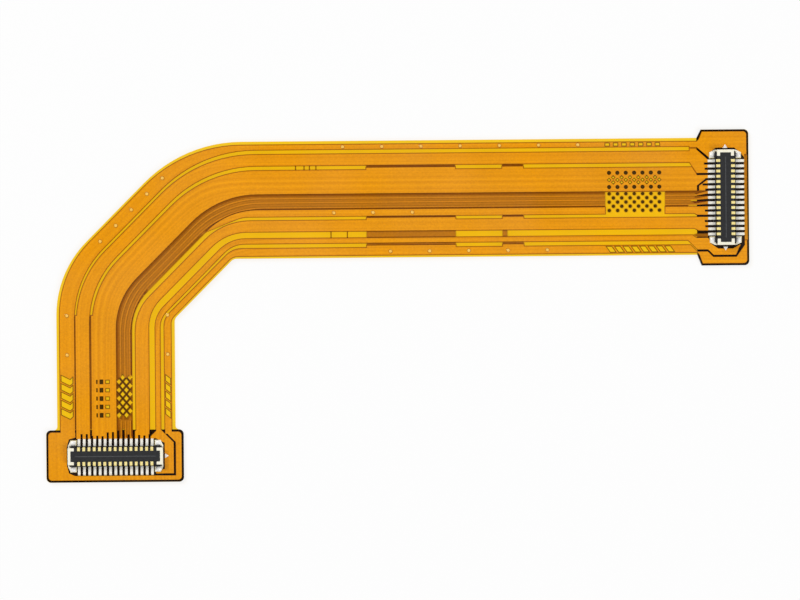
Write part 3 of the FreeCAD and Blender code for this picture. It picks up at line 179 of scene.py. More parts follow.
# The film: index of refraction over copper, in its shaded strips, and in folds and gaps, how
# rough its face is on the flat and in a fold, its tint and how far that varies over which span
# of the noise, and how far its gloss varies
FILM_IOR = 1.5
SHADE_IOR = 1.35
GAP_IOR = 1.3
FILM_ROUGHNESS = 0.16
FOLD_ROUGHNESS = 0.4
FILM_TINT = (0.985, 0.755, 0.10)
TINT_RANGE = (0.975, 1.01)
TINT_SPAN = (0.3, 0.7)
SHEEN_RANGE = (0.35, 1.3)

# Most of a noise lies in this span
NOISE_SPAN = (0.35, 0.65)

# Copper: its roughness, how far its tone and the dark backing's tone vary, and how much of
# that is mottle and not streaks
COPPER_ROUGHNESS = (0.42, 0.6)
COPPER_RANGE = (0.84, 1.10)
BACKING_RANGE = (0.8, 1.2)
MOTTLE_SHARE = 0.45

# Other finishes: how far their roughness varies, and the contacts' plating
ROUGHNESS_RANGE = (0.85, 1.15)
CONTACT_ROUGHNESS = (0.24, 0.4)
CONTACT_METALLIC = 0.05

# A face whose normal has more than this much height looks up
UPWARD = 0.5

# Features to the millimetre
CLOUDS_PER_MM = 0.35
SHEENS_PER_MM = 0.12
RIPPLES_PER_MM = 1.6
STREAKS_PER_MM = 4.5
MOTTLES_PER_MM = 7.0
CONTACT_GRAINS_PER_MM = 8.0

# The height of bumps
RIPPLE_MM = 0.004
MOTTLE_MM = 0.002
GRAIN_MM = 0.003


def new_tree(name):
    material = bpy.data.materials.new(name)
    material.use_nodes = True
    material.node_tree.nodes.clear()
    return material, material.node_tree


def add(tree, kind, inputs, **settings):
    """A node with its settings, its plain values set and its sockets linked."""
    node = tree.nodes.new(kind)
    for key, value in settings.items():
        setattr(node, key, value)
    for key, value in inputs.items():
        if isinstance(value, bpy.types.NodeSocket):
            tree.links.new(value, node.inputs[key])
        else:
            node.inputs[key].default_value = value
    return node


def math_node(tree, operation, first, second=0.0, third=0.0):
    inputs = {0: first, 1: second, 2: third}
    return add(tree, "ShaderNodeMath", inputs, operation=operation).outputs[0]


def place(tree):
    """The point on the object, in metres."""
    return add(tree, "ShaderNodeTexCoord", {}).outputs["Object"]


def noise(tree, per_mm, detail=3.0):
    """Soft noise with a number of features to the millimetre, the same along each axis."""
    scaled_place = add(tree, "ShaderNodeVectorMath", {0: place(tree), 1: [per_mm / MM] * 3},
                       operation="MULTIPLY").outputs["Vector"]
    inputs = {"Vector": scaled_place, "Scale": 1.0, "Detail": detail}
    return add(tree, "ShaderNodeTexNoise", inputs).outputs["Fac"]


def ranged(tree, factor, low, high, span=(0.0, 1.0)):
    """Runs from low to high as a factor goes through a span."""
    inputs = {0: factor, 1: span[0], 2: span[1], 3: low, 4: high}
    return add(tree, "ShaderNodeMapRange", inputs).outputs[0]


def tones(tree, factor, dark, light, span=NOISE_SPAN):
    """A colour that runs from dark to light as a factor goes through a span."""
    ramp = add(tree, "ShaderNodeValToRGB", {"Fac": factor})
    for stop, position, colour in zip(ramp.color_ramp.elements, span, (dark, light)):
        stop.position = position
        stop.color = (*colour, 1)
    return ramp.outputs["Color"]


def mixed(tree, share, first, second):
    """The first colour where the share is 0 and the second where it is 1."""
    inputs = {0: share, 6: first, 7: second}
    return add(tree, "ShaderNodeMix", inputs, data_type="RGBA").outputs[2]


def scaled(colour, factor):
    return tuple(min(1.0, channel * factor) for channel in colour)


def across_cable(tree):
    """Distance in millimetres from the cable's outer edge, round the bend too."""
    low, high = cad_box
    split = add(tree, "ShaderNodeSeparateXYZ", {0: place(tree)})
    side = math_node(tree, "MULTIPLY_ADD", split.outputs["X"], 1 / MM, -low.x / MM - SIDE_EDGE_MM)
    run = math_node(tree, "MULTIPLY_ADD", split.outputs["Y"], -1 / MM, high.y / MM - RUN_EDGE_MM)
    both = math_node(tree, "ADD", side, run)
    slant = math.sqrt(0.5)
    bend = math_node(tree, "MULTIPLY_ADD", both, slant, -BEND_LEG_MM * slant)
    nearest = math_node(tree, "SMOOTH_MIN", side, run, BEND_BLEND_MM)
    return math_node(tree, "SMOOTH_MIN", nearest, bend, BEND_BLEND_MM)


def bump(tree, height, distance_mm):
    inputs = {"Height": height, "Strength": 1.0, "Distance": distance_mm * MM}
    return add(tree, "ShaderNodeBump", inputs).outputs["Normal"]


def finish_with(tree, shader):
    add(tree, "ShaderNodeOutputMaterial", {"Surface": shader})


def opaque(tree, colour, roughness, normal, metallic, specular=0.5):
    shader = add(tree, "ShaderNodeBsdfPrincipled", {
        "Base Color": colour, "Metallic": metallic, "Roughness": roughness, "Normal": normal,
        "Specular IOR Level": specular})
    finish_with(tree, shader.outputs[0])


def film(name, tint, roughness=FILM_ROUGHNESS, ior=FILM_IOR):
    """Amber film: light passes with a tint that varies a little, and the face mirrors softly,
    more in some places than in others."""
    material, tree = new_tree(name)
    dark, light = (scaled(tint, factor) for factor in TINT_RANGE)
    colour = tones(tree, noise(tree, CLOUDS_PER_MM, 4.0), dark, light, TINT_SPAN)
    through = add(tree, "ShaderNodeBsdfTransparent", {"Color": colour})
    normal = bump(tree, noise(tree, RIPPLES_PER_MM, 2.0), RIPPLE_MM)
    gloss = add(tree, "ShaderNodeBsdfGlossy", {"Roughness": roughness, "Normal": normal})
    fresnel = add(tree, "ShaderNodeFresnel", {"IOR": ior, "Normal": normal}).outputs[0]
    sheen = ranged(tree, noise(tree, SHEENS_PER_MM, 2.0), *SHEEN_RANGE, NOISE_SPAN)
    inner = add(tree, "ShaderNodeNewGeometry", {}).outputs["Backfacing"]
    outer = math_node(tree, "SUBTRACT", 1.0, inner)
    mirror = math_node(tree, "MULTIPLY", math_node(tree, "MULTIPLY", fresnel, sheen), outer)
    mix = add(tree, "ShaderNodeMixShader", {0: mirror, 1: through.outputs[0], 2: gloss.outputs[0]})
    finish_with(tree, mix.outputs[0])
    return material


def copper(name, top, under, metallic=0.3, backing=None):
    """Copper under film: fine rolled streaks along the cable, and a mottle from the etching.

    Its upper face has the colour top and its other faces the colour under, two copies of one
    copper whose darker one is painted shade: on the upper copper's sides, and on the lower
    copper's face under the upper layers. With a backing colour, it has that behind the main
    plane's marks.
    """
    material, tree = new_tree(name)
    across = across_cable(tree)
    streak = add(tree, "ShaderNodeTexNoise", {"W": across, "Scale": STREAKS_PER_MM, "Detail": 4.0},
                 noise_dimensions="1D").outputs["Fac"]
    mottle = noise(tree, MOTTLES_PER_MM)
    blend = add(tree, "ShaderNodeMix", {0: MOTTLE_SHARE, 2: streak, 3: mottle},
                data_type="FLOAT").outputs[0]
    over = tones(tree, blend, *(scaled(top, factor) for factor in COPPER_RANGE))
    below = tones(tree, blend, *(scaled(under, factor) for factor in COPPER_RANGE))
    if backing:
        beyond = math_node(tree, "GREATER_THAN", across, BACKING_MM[0])
        before = math_node(tree, "LESS_THAN", across, BACKING_MM[1])
        hidden = tones(tree, mottle, *(scaled(backing, factor) for factor in BACKING_RANGE))
        over = mixed(tree, math_node(tree, "MULTIPLY", beyond, before), over, hidden)
    facing = add(tree, "ShaderNodeNewGeometry", {}).outputs["True Normal"]
    height = add(tree, "ShaderNodeSeparateXYZ", {0: facing}).outputs["Z"]
    colour = mixed(tree, math_node(tree, "GREATER_THAN", height, UPWARD), below, over)
    rough = ranged(tree, mottle, *COPPER_ROUGHNESS)
    opaque(tree, colour, rough, bump(tree, mottle, MOTTLE_MM), metallic)
    return material


def solid(name, dark, light, grain_mm, roughness, metallic=0.0, specular=0.5):
    """A plain finish with the grain, colour variation and bump of a real surface."""
    material, tree = new_tree(name)
    grain = noise(tree, 1 / grain_mm, 4.0)
    rough = ranged(tree, grain, *(roughness * factor for factor in ROUGHNESS_RANGE))
    normal = bump(tree, grain, GRAIN_MM)
    opaque(tree, tones(tree, grain, dark, light), rough, normal, metallic, specular)
    return material


def contact_finish(name):
    """Bright gold on the contacts' tops, and wetted with pale solder on their tails."""
    material, tree = new_tree(name)
    height = add(tree, "ShaderNodeSeparateXYZ", {0: place(tree)}).outputs["Z"]
    raised = math_node(tree, "GREATER_THAN", height, TAIL_TOP_MM * MM)
    grain = noise(tree, CONTACT_GRAINS_PER_MM)
    gold = tones(tree, grain, (0.93, 0.72, 0.24), (1.0, 0.90, 0.42))
    wet = tones(tree, grain, (0.95, 0.91, 0.80), (1.0, 1.0, 0.94))
    colour = mixed(tree, raised, wet, gold)
    rough = ranged(tree, grain, *CONTACT_ROUGHNESS)
    opaque(tree, colour, rough, bump(tree, grain, GRAIN_MM), CONTACT_METALLIC)
    return material


# The film's finishes in the order of its material slots: over upper copper or whole lower
# copper, in a fold with painted shade, from below, with painted shade, over a via with a painted
# highlight, with painted glow at the outer edge, over a gap, in a fold over lower copper with
# painted shade, in a cell of a hatched pattern, and with painted shade on the lines round such
# cells
FILM_FINISHES = (
    film("amber_film", FILM_TINT),
    # Painted shade: a dark tint on the film's folds beside copper and on the lower copper's lip
    film("amber_film_fold_shade", (0.42, 0.18, 0.02), FOLD_ROUGHNESS, GAP_IOR),
    film("amber_film_under", FILM_TINT),
    film("amber_film_shade", (0.72, 0.51, 0.05), ior=SHADE_IOR),
    # Painted highlight: the via domes are an opaque bright yellow
    solid("via_dome_highlight", (0.86, 0.46, 0.07), (0.98, 0.62, 0.13), 0.08, 0.5, specular=0.2),
    # Painted light: a paler tint along the outer edge, standing for the cut edge's glow
    film("amber_film_edge_glow", (1.0, 0.84, 0.20), ior=GAP_IOR),
    film("amber_film_gap", (0.985, 0.755, 0.06), ior=GAP_IOR),
    # Painted shade: the fold tint where the fold lies over lower copper
    film("amber_film_brown_shade", (0.57, 0.36, 0.02), FOLD_ROUGHNESS, GAP_IOR),
    film("amber_film_cell", (1.0, 0.82, 0.08), ior=GAP_IOR),
    # Painted shade: the darkest tint, on the lines round the hatched patterns' cells
    film("amber_film_line_shade", (0.27, 0.16, 0.01), FOLD_ROUGHNESS, GAP_IOR))
PLAIN, FOLD_SHADE, UNDER, SHADE, DOME_HIGHLIGHT, EDGE_GLOW, GAP, BROWN_SHADE, CELL, LINE_SHADE = range(len(FILM_FINISHES))

# Painted shade: the upper copper's and the traces' side faces are darker copies of their tops
UPPER = copper("upper_copper", (0.99, 0.610, 0.32), (0.66, 0.37, 0.22))
TRACE = copper("trace_copper", (0.74, 0.43, 0.30), (0.58, 0.32, 0.20))
# Painted shade: the lower copper's top is a darker copy of its own copper, as if shaded under the
# upper layers
LOWER = copper("lower_copper", (0.57, 0.32, 0.21), (0.88, 0.52, 0.28), 0.2, (0.12, 0.11, 0.05))
BRIDGE = copper("bridge_copper", (0.72, 0.46, 0.40), (0.88, 0.52, 0.28), 0.2)
DOT = copper("dot_copper", (0.12, 0.11, 0.05), (0.60, 0.35, 0.20), 0.2)
SLIVER = copper("sliver_copper", (0.26, 0.13, 0.05), (0.40, 0.22, 0.12), 0.1)
STIFFENER = solid("black_stiffener", (0.006, 0.006, 0.006), (0.014, 0.013, 0.013), 0.12, 0.6,
                  specular=0.2)
MOULDING = solid("black_moulding", (0.010, 0.010, 0.012), (0.020, 0.021, 0.023), 0.06, 0.45,
                 specular=0.4)
# Painted highlight: the ridge line is coloured much lighter than the moulding
SEAM_HIGHLIGHT = solid("moulding_seam_highlight", (0.045, 0.047, 0.050), (0.085, 0.088, 0.092), 0.10, 0.40)
GOLD = solid("gold_plate", (0.88, 0.70, 0.26), (0.98, 0.86, 0.44), 0.15, 0.30, 0.3)
CONTACT = contact_finish("contact_plating")
SOLDER = solid("solder", (0.94, 0.93, 0.88), (1.0, 1.0, 0.97), 0.10, 0.24, 0.04)
STEEL = solid("plated_steel", (0.96, 0.90, 0.68), (1.0, 0.98, 0.86), 0.14, 0.28, 0.06)
INK = solid("white_ink", (0.97, 0.97, 0.95), (1.0, 1.0, 1.0), 0.05, 0.55)


# Shapes


def new_piece(name, mesh, materials):
    for material in materials:
        mesh.materials.append(material)
    piece = bpy.data.objects.new(name, mesh)
    bpy.context.scene.collection.objects.link(piece)
    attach(piece, "root")
    return piece


def joined(name, parts, material, smooth):
    """One piece made of several closed parts, each given as its corners in millimetres and its
    faces."""
    points, faces, start = [], [], 0
    for corners, sides in parts:
        points += (np.asarray(corners) * MM).tolist()
        faces += [tuple(start + index for index in side) for side in sides]
        start += len(corners)
    mesh = bpy.data.meshes.new(name)
    mesh.from_pydata(points, [], faces)
    mesh.polygons.foreach_set("use_smooth", [smooth] * len(mesh.polygons))
    new_piece(name, mesh, [material])


def dress(name, material):
    """Gives a CAD node that keeps its shape its finish."""
    mesh = nodes[name].data
    mesh.materials.clear()
    mesh.materials.append(material)


def softened(name, material, radius_mm):
    """A CAD node with its sharp edges rounded off, in its own place."""
    form = bmesh.new()
    form.from_mesh(nodes[name].data)
    bmesh.ops.remove_doubles(form, verts=form.verts, dist=WELD_DISTANCE)
    bmesh.ops.dissolve_limit(form, angle_limit=math.radians(FLAT_ANGLE_DEG), verts=form.verts,
                             edges=form.edges)
    sharp_angle = math.radians(SHARP_ANGLE_DEG)
    sharp = [edge for edge in form.edges
             if len(edge.link_faces) == 2 and edge.calc_face_angle() > sharp_angle]
    bmesh.ops.bevel(form, geom=sharp, offset=radius_mm * MM, offset_type="OFFSET",
                    segments=ROUND_SEGMENTS, profile=0.5, affect="EDGES", clamp_overlap=True)
    mesh = bpy.data.meshes.new(f"{name}_rounded")
    form.to_mesh(mesh)
    form.free()
    piece = new_piece(f"{name}_rounded", mesh, [material])
    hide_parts(name)


def flat_loops(name, level):
    """Closed outlines of a CAD node's flat faces at one height, in millimetres. The metal or
    film lies on their left."""
    mesh = nodes[name].data
    open_edges = set()
    for face in mesh.polygons:
        corners = [mesh.vertices[index].co for index in face.vertices]
        if any(abs(corner.z - level) > LEVEL_TOLERANCE for corner in corners):
            continue
        keys = [(round(corner.x * GRID_PER_METRE), round(corner.y * GRID_PER_METRE))
                for corner in corners]
        if face.normal.z < 0:
            keys.reverse()
        for edge in zip(keys, keys[1:] + keys[:1]):
            if edge[::-1] in open_edges:
                open_edges.remove(edge[::-1])
            else:
                open_edges.add(edge)
    follows = {}
    for first, second in sorted(open_edges):
        follows.setdefault(first, []).append(second)
    loops = []
    while follows:
        loop = [next(iter(follows))]
        while len(loop) == 1 or loop[-1] != loop[0]:
            here = loop[-1]
            loop.append(follows[here].pop())
            if not follows[here]:
                del follows[here]
        loops.append(np.array(loop[:-1], float) / GRID_PER_METRE / MM)
    return loops


def top_loops(*names):
    """The outlines of some nodes' upper faces."""
    return [loop for name in names for loop in flat_loops(name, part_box(name)[1].z)]


def widened(loop, distance):
    """The outline moved away from its metal by a distance, corner by corner."""
    ahead = np.roll(loop, -1, 0) - loop
    ahead /= np.linalg.norm(ahead, axis=1)[:, None]
    outward = np.stack([ahead[:, 1], -ahead[:, 0]], 1)
    before = np.roll(outward, 1, 0)
    share = np.maximum(1 + (outward * before).sum(1), MITRE_LIMIT)
    return loop + (outward + before) / share[:, None] * distance


def inside(points, loops):
    """Which points lie within the outlines, by counting the outlines' crossings beside each."""
    within = np.zeros(len(points), bool)
    x, y = points[:, :1], points[:, 1:]
    for loop in loops:
        after = np.roll(loop, -1, 0)
        rise = after[:, 1] - loop[:, 1]
        rise[rise == 0] = TINY
        crossing = loop[:, 0] + (y - loop[:, 1]) * (after[:, 0] - loop[:, 0]) / rise
        spans = (loop[:, 1] > y) != (after[:, 1] > y)
        within ^= np.count_nonzero(spans & (x < crossing), axis=1) % 2 == 1
    return within


def distance_to(points, loops):
    """How far each point lies from the nearest outline."""
    nearest = np.full(len(points), np.inf)
    for loop in loops:
        run = np.roll(loop, -1, 0) - loop
        away = points[:, None] - loop
        along = np.clip((away * run).sum(2) / (run * run).sum(1), 0, 1)
        gap = np.linalg.norm(away - along[..., None] * run, axis=2)
        nearest = np.minimum(nearest, gap.min(1))
    return nearest


def small_holes(loops):
    """The outlines of the holes that are no larger than a cell of the hatched patterns."""
    found = []
    for loop in loops:
        after = np.roll(loop, -1, 0)
        area = (loop[:, 0] * after[:, 1] - after[:, 0] * loop[:, 1]).sum() / 2
        if area < 0 and np.ptp(loop, axis=0).max() < CELL_SIZE_MM:
            found.append(loop)
    return found


def triangulated(loops):
    """Points and triangles of the plane, cut along every outline."""
    points = [Vector(point) for loop in loops for point in loop]
    edges = []
    start = 0
    for loop in loops:
        count = len(loop)
        edges += [(start + index, start + (index + 1) % count) for index in range(count)]
        start += count
    result = delaunay_2d_cdt(points, edges, [], 0, CUT_TOLERANCE_MM, False)
    return np.array([tuple(point) for point in result[0]]), np.array(result[2])


def open_rim(triangles):
    """The edges that only one of the triangles has, in its own direction."""
    edges = {(face[index], face[(index + 1) % 3]) for face in triangles for index in range(3)}
    return [edge for edge in sorted(edges) if edge[::-1] not in edges]


def rays(count):
    """Evenly spaced directions all round."""
    turns = np.arange(count) * 2 * math.pi / count
    return np.stack([np.cos(turns), np.sin(turns)], 1)


def via_centres():
    """The middle of each plated barrel, to the nearest 0.001 mm."""
    middles = {tuple((0.5 * (loop.min(0) + loop.max(0))).round(3))
               for loop in top_loops("guard_vias")}
    return np.array(sorted(middles))


def nearest_centre(points, centres):
    """How far each point lies from the nearest of the centres."""
    return np.linalg.norm(points[:, None] - centres, axis=2).min(1)


class Layer:
    """How one face of the film follows the copper next to it: at its own level over copper, and
    lower by the sink beyond the copper's edge."""

    def __init__(self, names, copper_level, film_level, sink):
        self.loops = [loop for name in names for loop in flat_loops(name, copper_level)]
        self.film_level = film_level
        self.sink = sink

    def guides(self):
        """The outlines at the head and the foot of the film's slopes."""
        return self.loops + [widened(loop, FOLD_WIDTH_MM) for loop in self.loops]

    def reach(self, points):
        """How far down the slope each point lies, from 0 at the head to 1 at the foot."""
        gap = distance_to(points, self.loops)
        gap[inside(points, self.loops)] = 0
        return np.minimum(gap / FOLD_WIDTH_MM, 1)

    def heights(self, points):
        return self.film_level + self.sink * self.reach(points)

    def folded(self, centres):
        share = self.reach(centres)
        return (share > FLAT_SHARE) & (share < 1 - FLAT_SHARE)


class Laminate:
    """The three bonded films as one skin, raised over the copper and open at the connectors."""

    def __init__(self):
        film_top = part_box("top_coverlay")[1].z / MM
        film_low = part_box("bottom_coverlay")[0].z / MM
        upper_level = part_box("ground_copper")[1].z
        lower_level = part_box("bottom_plane")[0].z
        self.upper = Layer(UPPER_COPPER, upper_level, film_top, -FOLD_DEPTH_MM)
        self.strips = Layer(UPPER_STRIPS, upper_level, film_top, -FOLD_DEPTH_MM)
        self.lower = Layer(LOWER_COPPER, lower_level, film_low, FOLD_DEPTH_MM)
        outlines = sorted(top_loops("top_coverlay"), key=lambda loop: np.ptp(loop[:, 0]))
        self.edge, self.openings = outlines[-1], outlines[:-1]
        self.main_plane = top_loops("main_plane")
        self.centre_strip = top_loops("centre_strip")
        self.vias = via_centres()

    def guides(self):
        """Every outline that the skin is cut along."""
        shades = [widened(loop, SHADE_WIDTH_MM) for loop in self.main_plane
                  if np.ptp(loop[:, 0]) > STRIP_OUTLINE_MM]
        shades += [widened(loop, STRIP_SHADE_MM) for loop in self.centre_strip]
        rings = [centre + radius * rays(DOME_SIDES) for centre in self.vias
                 for radius in (DOME_RADIUS_MM, DOME_RADIUS_MM + DOME_RING_MM)]
        return [self.edge, *self.openings, *self.upper.guides(), *self.lower.guides(),
                *shades, *rings]

    def finishes(self, centres):
        """The finish of the film's upper face at each place, by what lies under it."""
        over_upper = inside(centres, self.upper.loops)
        over_lower = inside(centres, self.lower.loops) & ~over_upper
        over_gap = ~over_upper & ~over_lower
        in_fold = self.strips.folded(centres)
        in_lower_fold = self.lower.folded(centres)
        to_lower = distance_to(centres, self.lower.loops)
        lip = over_lower & (to_lower < LIP_WIDTH_MM)
        # Painted shade: film over lower copper is darkened near its rim, beside the main plane and
        # beside the centre strip
        painted_shade = to_lower < RIM_WIDTH_MM
        painted_shade |= distance_to(centres, self.main_plane) < SHADE_WIDTH_MM
        painted_shade |= distance_to(centres, self.centre_strip) < STRIP_SHADE_MM

        chosen = np.where(over_gap, GAP, PLAIN)
        # Painted shade over lower copper near those edges, and on the lower copper's folds
        chosen[painted_shade & over_lower] = SHADE
        chosen[in_lower_fold & ~over_upper] = SHADE
        # Painted light: the film is paler within the margin along its outer edge
        chosen[over_gap & (distance_to(centres, [self.edge]) < GLOW_MARGIN_MM)] = EDGE_GLOW
        # Painted shade on the lower copper's lip and in the folds beside upper copper
        chosen[lip] = FOLD_SHADE
        chosen[in_fold] = FOLD_SHADE
        chosen[in_fold & over_lower] = BROWN_SHADE

        lattice = small_holes(self.lower.loops)
        near_lattice = distance_to(centres, lattice) < LATTICE_REACH_MM
        # Painted shade on the lines round the lattice cells
        chosen[near_lattice & lip] = LINE_SHADE
        chosen[near_lattice & in_lower_fold & over_gap] = LINE_SHADE
        in_cell = over_gap & inside(centres, small_holes(self.strips.loops) + lattice)
        chosen[in_cell] = CELL
        chosen[in_cell & (in_fold | in_lower_fold)] = LINE_SHADE

        # A ring of painted shade round each via, and a painted highlight on the dome inside it
        to_via = nearest_centre(centres, self.vias)
        chosen[to_via < DOME_RADIUS_MM + DOME_RING_MM] = SHADE
        chosen[to_via < DOME_RADIUS_MM] = DOME_HIGHLIGHT
        return chosen

    def build(self):
        """Its upper face, the core's face in the openings, its lower face, and walls between."""
        points, faces = triangulated(self.guides())
        centres = points[faces].mean(1)
        kept = inside(centres, [self.edge])
        faces, centres = faces[kept], centres[kept]
        bare = inside(centres, self.openings) & ~inside(centres, self.upper.loops)
        count = len(points)
        on_dome = nearest_centre(points, self.vias) < DOME_RADIUS_MM * DOME_TOLERANCE
        core_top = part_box("base_film")[1].z / MM
        top = np.column_stack([points, self.upper.heights(points) + DOME_RISE_MM * on_dome])
        floor = np.column_stack([points, np.full(count, core_top)])
        under = np.column_stack([points, self.lower.heights(points)])
        skins = [faces[~bare], faces[bare] + count, faces[:, ::-1] + 2 * count]
        walls = [(second, first, first + 2 * count, second + 2 * count)
                 for first, second in open_rim(faces.tolist())]
        walls += [(first + count, second + count, second, first)
                  for first, second in open_rim(faces[bare].tolist())]
        slots = np.concatenate([self.finishes(centres)[~bare], np.full(bare.sum(), PLAIN),
                                np.full(len(faces), UNDER), np.full(len(walls), PLAIN)])
        sides = [tuple(face) for skin in skins for face in skin.tolist()] + walls
        mesh = bpy.data.meshes.new("film_laminate")
        mesh.from_pydata((np.concatenate([top, floor, under]) * MM).tolist(), [], sides)
        mesh.polygons.foreach_set("material_index", slots)
        mesh.validate()
        form = bmesh.new()
        form.from_mesh(mesh)
        loose = [vertex for vertex in form.verts if not vertex.link_faces]
        bmesh.ops.delete(form, geom=loose, context="VERTS")
        form.to_mesh(mesh)
        form.free()
        piece = new_piece("film_laminate", mesh, FILM_FINISHES)
        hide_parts("base_film", "top_coverlay", "bottom_coverlay")


def block(start, end, foot, top, inset=0.0):
    """A block between two corners seen from above, drawn in at its top."""
    (left, near), (right, far) = start, end
    corners = [(left, near, foot), (right, near, foot), (right, far, foot), (left, far, foot),
               (left + inset, near + inset, top), (right - inset, near + inset, top),
               (right - inset, far - inset, top), (left + inset, far - inset, top)]
    return corners, BLOCK_FACES


def run_edge(name, pick):
    """Where a strip's edge lies along y in the straight run."""
    loop = max(top_loops(name), key=len)
    step = np.abs(np.roll(loop, -1, 0) - loop)
    level = (step[:, 0] > RUN_LENGTH_MM) & (step[:, 1] < RUN_SLOPE_MM)
    return pick(loop[level][:, 1])


def gap_bars():
    """Dark slivers of copper that divide two of the yellow gaps in the straight run."""
    low, high = (corner.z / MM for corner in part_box("signal_lines"))
    parts = []
    for strip_above, strip_below, places in GAP_BARS:
        far = run_edge(strip_above, np.min)
        near = run_edge(strip_below, np.max)
        for x in places:
            half = BAR_WIDTH_MM / 2
            parts.append(block((x - half, near), (x + half, far), low, high))
    joined("gap_bars", parts, SLIVER, False)


def blob(centre, halves, corner):
    """A foot's solder: an oval, drawn in toward the connector's corner, with rings that shrink
    as they climb to a round top."""
    ray = rays(BLOB_SIDES)
    swell = (np.abs(ray) ** BLOB_POWER).sum(1) ** (-1 / BLOB_POWER)
    toward = np.clip((ray * corner).sum(1) / math.sqrt(2), 0, 1)
    swell *= 1 - BLOB_CUT * toward ** 3
    outline = ray * swell[:, None] * halves
    rings = []
    for step in range(BLOB_RINGS):
        angle = step / BLOB_RINGS * math.pi / 2
        level = np.full(BLOB_SIDES, BLOB_BASE_MM + BLOB_RISE_MM * math.sin(angle))
        rings.append(np.column_stack([centre + outline * math.cos(angle), level]))
    rings.append(np.array([[*centre, BLOB_BASE_MM + BLOB_RISE_MM]]))
    around = [(index, (index + 1) % BLOB_SIDES) for index in range(BLOB_SIDES)]
    faces = [tuple(range(BLOB_SIDES))[::-1]]
    for ring in range(BLOB_RINGS - 1):
        low, high = ring * BLOB_SIDES, (ring + 1) * BLOB_SIDES
        faces += [(low + index, low + after, high + after, high + index)
                  for index, after in around]
    last = (BLOB_RINGS - 1) * BLOB_SIDES
    faces += [(last + index, last + after, last + BLOB_SIDES) for index, after in around]
    return np.concatenate(rings), faces


def row_axis(side):
    """The axis that a connector's rows run along."""
    return 0 if side == "left" else 1


def plan(name):
    """A node's lowest and highest corners from above, in millimetres."""
    low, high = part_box(name)
    return np.array(low[:2]) / MM, np.array(high[:2]) / MM


def foot_solder(side):
    """White solder rounded over the four feet of a connector's hold-downs."""
    row = row_axis(side)
    centre = sum(plan(f"{side}_housing")) / 2
    halves = BLOB_HALF_MM if row == 0 else BLOB_HALF_MM[::-1]
    parts = []
    for end in ("first", "last"):
        low, high = plan(f"{side}_hold_down_{end}")
        outer = high if abs(high[row] - centre[row]) > abs(low[row] - centre[row]) else low
        sign = np.sign(outer[row] - centre[row])
        for flank in (-1, 1):
            spot, corner = np.zeros(2), np.zeros(2)
            spot[row] = outer[row] - sign * BLOB_IN_MM
            spot[1 - row] = centre[1 - row] + flank * BLOB_OUT_MM
            corner[row], corner[1 - row] = sign, flank
            parts.append(blob(spot, halves, corner))
    joined(f"{side}_foot_solder", parts, SOLDER, True)


def seam_with_highlight(side):
    """The faint raised line along the middle of a housing's ridge, coloured lighter as a painted
    highlight.
    """
    row = row_axis(side)
    start, end = plan(f"{side}_housing")
    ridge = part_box(f"{side}_housing")[1].z / MM
    middle = (start[1 - row] + end[1 - row]) / 2
    start[row] += SEAM_END_MM
    end[row] -= SEAM_END_MM
    start[1 - row] = middle - SEAM_HALF_MM
    end[1 - row] = middle + SEAM_HALF_MM
    part = block(start, end, ridge - SEAM_RISE_MM, ridge + SEAM_RISE_MM, SEAM_HALF_MM / 2)
    joined(f"{side}_ridge_seam_highlight", [part], SEAM_HIGHLIGHT, False)


Laminate().build()
for node in UPPER_STRIPS + ("guard_vias",):
    dress(node, UPPER)
dress("signal_lines", TRACE)
dress("bottom_plane", LOWER)
dress("bottom_bridges", BRIDGE)
dress("mesh_dots", DOT)
for side in SIDES:
    dress(f"{side}_stiffener", STIFFENER)
    dress(f"{side}_lands", GOLD)
    softened(f"{side}_solder", SOLDER, SOLDER_ROUND_MM)
    softened(f"{side}_housing", MOULDING, PART_ROUND_MM)
    softened(f"{side}_contacts_inner", CONTACT, PART_ROUND_MM)
    softened(f"{side}_contacts_outer", CONTACT, PART_ROUND_MM)
    softened(f"{side}_hold_down_first", STEEL, PART_ROUND_MM)
    softened(f"{side}_hold_down_last", STEEL, PART_ROUND_MM)
    dress(f"{side}_orientation_mark", INK)
    foot_solder(side)
    seam_with_highlight(side)
gap_bars()


# Stage

# The table: how far it reaches to each side in metres, its level, its colour, and how much of
# what is seen of it is plain white and not lit
TABLE_HALF = 2.0
TABLE_GAP_MM = 0.005
TABLE_COLOUR = (0.93, 0.93, 0.93, 1)
TABLE_WHITE_SHARE = 0.8

# The room's light, and how bright the camera sees it
ROOM_STRENGTH = 0.35
ROOM_SEEN = 1.0

# Each lamp's name, place and size in metres, and power in watts
LAMPS = (("key", (-0.30, 0.30, 0.42), 0.25, 1.9), ("fill", (0.34, -0.26, 0.42), 0.30, 1.6))

# The camera, and the nearest and farthest that it sees, in metres
LENS_MM = 200
SENSOR_MM = 36
CLIP_START = 0.01
CLIP_END = 10

WHITE = (1, 1, 1, 1)


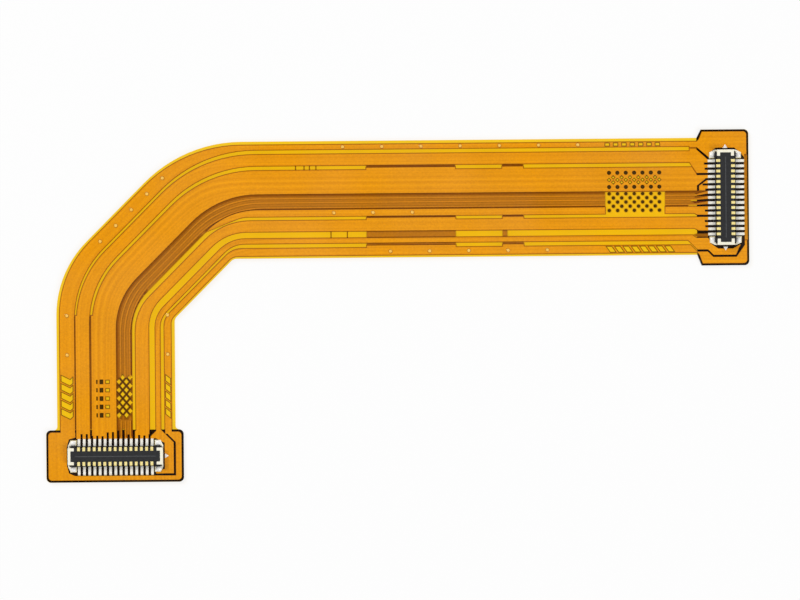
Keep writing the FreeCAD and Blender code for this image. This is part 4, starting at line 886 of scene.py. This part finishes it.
def table():
    """A pale table, white to the camera, that keeps the shadow and is clear from underneath."""
    material, tree = new_tree("table_white")
    path = add(tree, "ShaderNodeLightPath", {})
    seen = math_node(tree, "MAXIMUM", path.outputs["Is Camera Ray"], path.outputs["Is Glossy Ray"])
    seen = math_node(tree, "MAXIMUM", seen, path.outputs["Is Transmission Ray"])
    share = math_node(tree, "MULTIPLY", seen, TABLE_WHITE_SHARE)
    matte = add(tree, "ShaderNodeBsdfDiffuse", {"Color": TABLE_COLOUR})
    bright = add(tree, "ShaderNodeEmission", {"Color": WHITE, "Strength": 1.0})
    mix = add(tree, "ShaderNodeMixShader", {0: share, 1: matte.outputs[0], 2: bright.outputs[0]})
    below = add(tree, "ShaderNodeNewGeometry", {}).outputs["Backfacing"]
    clear = add(tree, "ShaderNodeBsdfTransparent", {})
    sided = add(tree, "ShaderNodeMixShader", {0: below, 1: mix.outputs[0], 2: clear.outputs[0]})
    finish_with(tree, sided.outputs[0])
    mesh = bpy.data.meshes.new("table")
    corners = [(x * TABLE_HALF, y * TABLE_HALF, -TABLE_GAP_MM * MM)
               for x, y in ((-1, -1), (1, -1), (1, 1), (-1, 1))]
    mesh.from_pydata(corners, [], [(0, 1, 2, 3)])
    mesh.materials.append(material)
    floor = bpy.data.objects.new("table", mesh)
    bpy.context.scene.collection.objects.link(floor)


def softbox(name, position, size, power):
    """A square lamp that faces the object."""
    data = bpy.data.lights.new(name, "AREA")
    data.shape = "SQUARE"
    data.size = size
    data.energy = power
    lamp = bpy.data.objects.new(name, data)
    lamp.location = position
    lamp.rotation_euler = (-Vector(position)).to_track_quat("-Z", "Y").to_euler()
    bpy.context.scene.collection.objects.link(lamp)


def surroundings():
    """A dim even room that is white where the camera sees it."""
    world = bpy.data.worlds.new("room")
    world.use_nodes = True
    tree = world.node_tree
    tree.nodes.clear()
    seen = add(tree, "ShaderNodeLightPath", {}).outputs["Is Camera Ray"]
    strength = math_node(tree, "MULTIPLY_ADD", seen, ROOM_SEEN - ROOM_STRENGTH, ROOM_STRENGTH)
    back = add(tree, "ShaderNodeBackground", {"Color": WHITE, "Strength": strength})
    add(tree, "ShaderNodeOutputWorld", {"Surface": back.outputs[0]})
    bpy.context.scene.world = world


def camera():
    """Looks straight down with a long lens, framed as in the photograph."""
    data = bpy.data.cameras.new("camera")
    data.lens = LENS_MM
    data.sensor_width = SENSOR_MM
    data.clip_start = CLIP_START
    data.clip_end = CLIP_END
    mm_per_pixel = PHOTO_WIDTH_MM / PHOTO_WIDTH
    roll = math.radians(PHOTO_ROLL_DEG)
    right = (PHOTO_WIDTH / 2 - CENTRE_IN_PHOTO[0]) * mm_per_pixel
    up = (CENTRE_IN_PHOTO[1] - PHOTO_HEIGHT / 2) * mm_per_pixel
    across = right * math.cos(roll) - up * math.sin(roll)
    along = right * math.sin(roll) + up * math.cos(roll)
    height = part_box("ground_copper")[1].z / MM + PHOTO_WIDTH_MM * LENS_MM / SENSOR_MM
    view = bpy.data.objects.new("camera", data)
    view.location = (across * MM, along * MM, height * MM)
    view.rotation_euler = (0, 0, roll)
    bpy.context.scene.collection.objects.link(view)
    bpy.context.scene.camera = view


table()
surroundings()
for lamp in LAMPS:
    softbox(*lamp)
camera()
bpy.context.scene.view_settings.view_transform = "Standard"
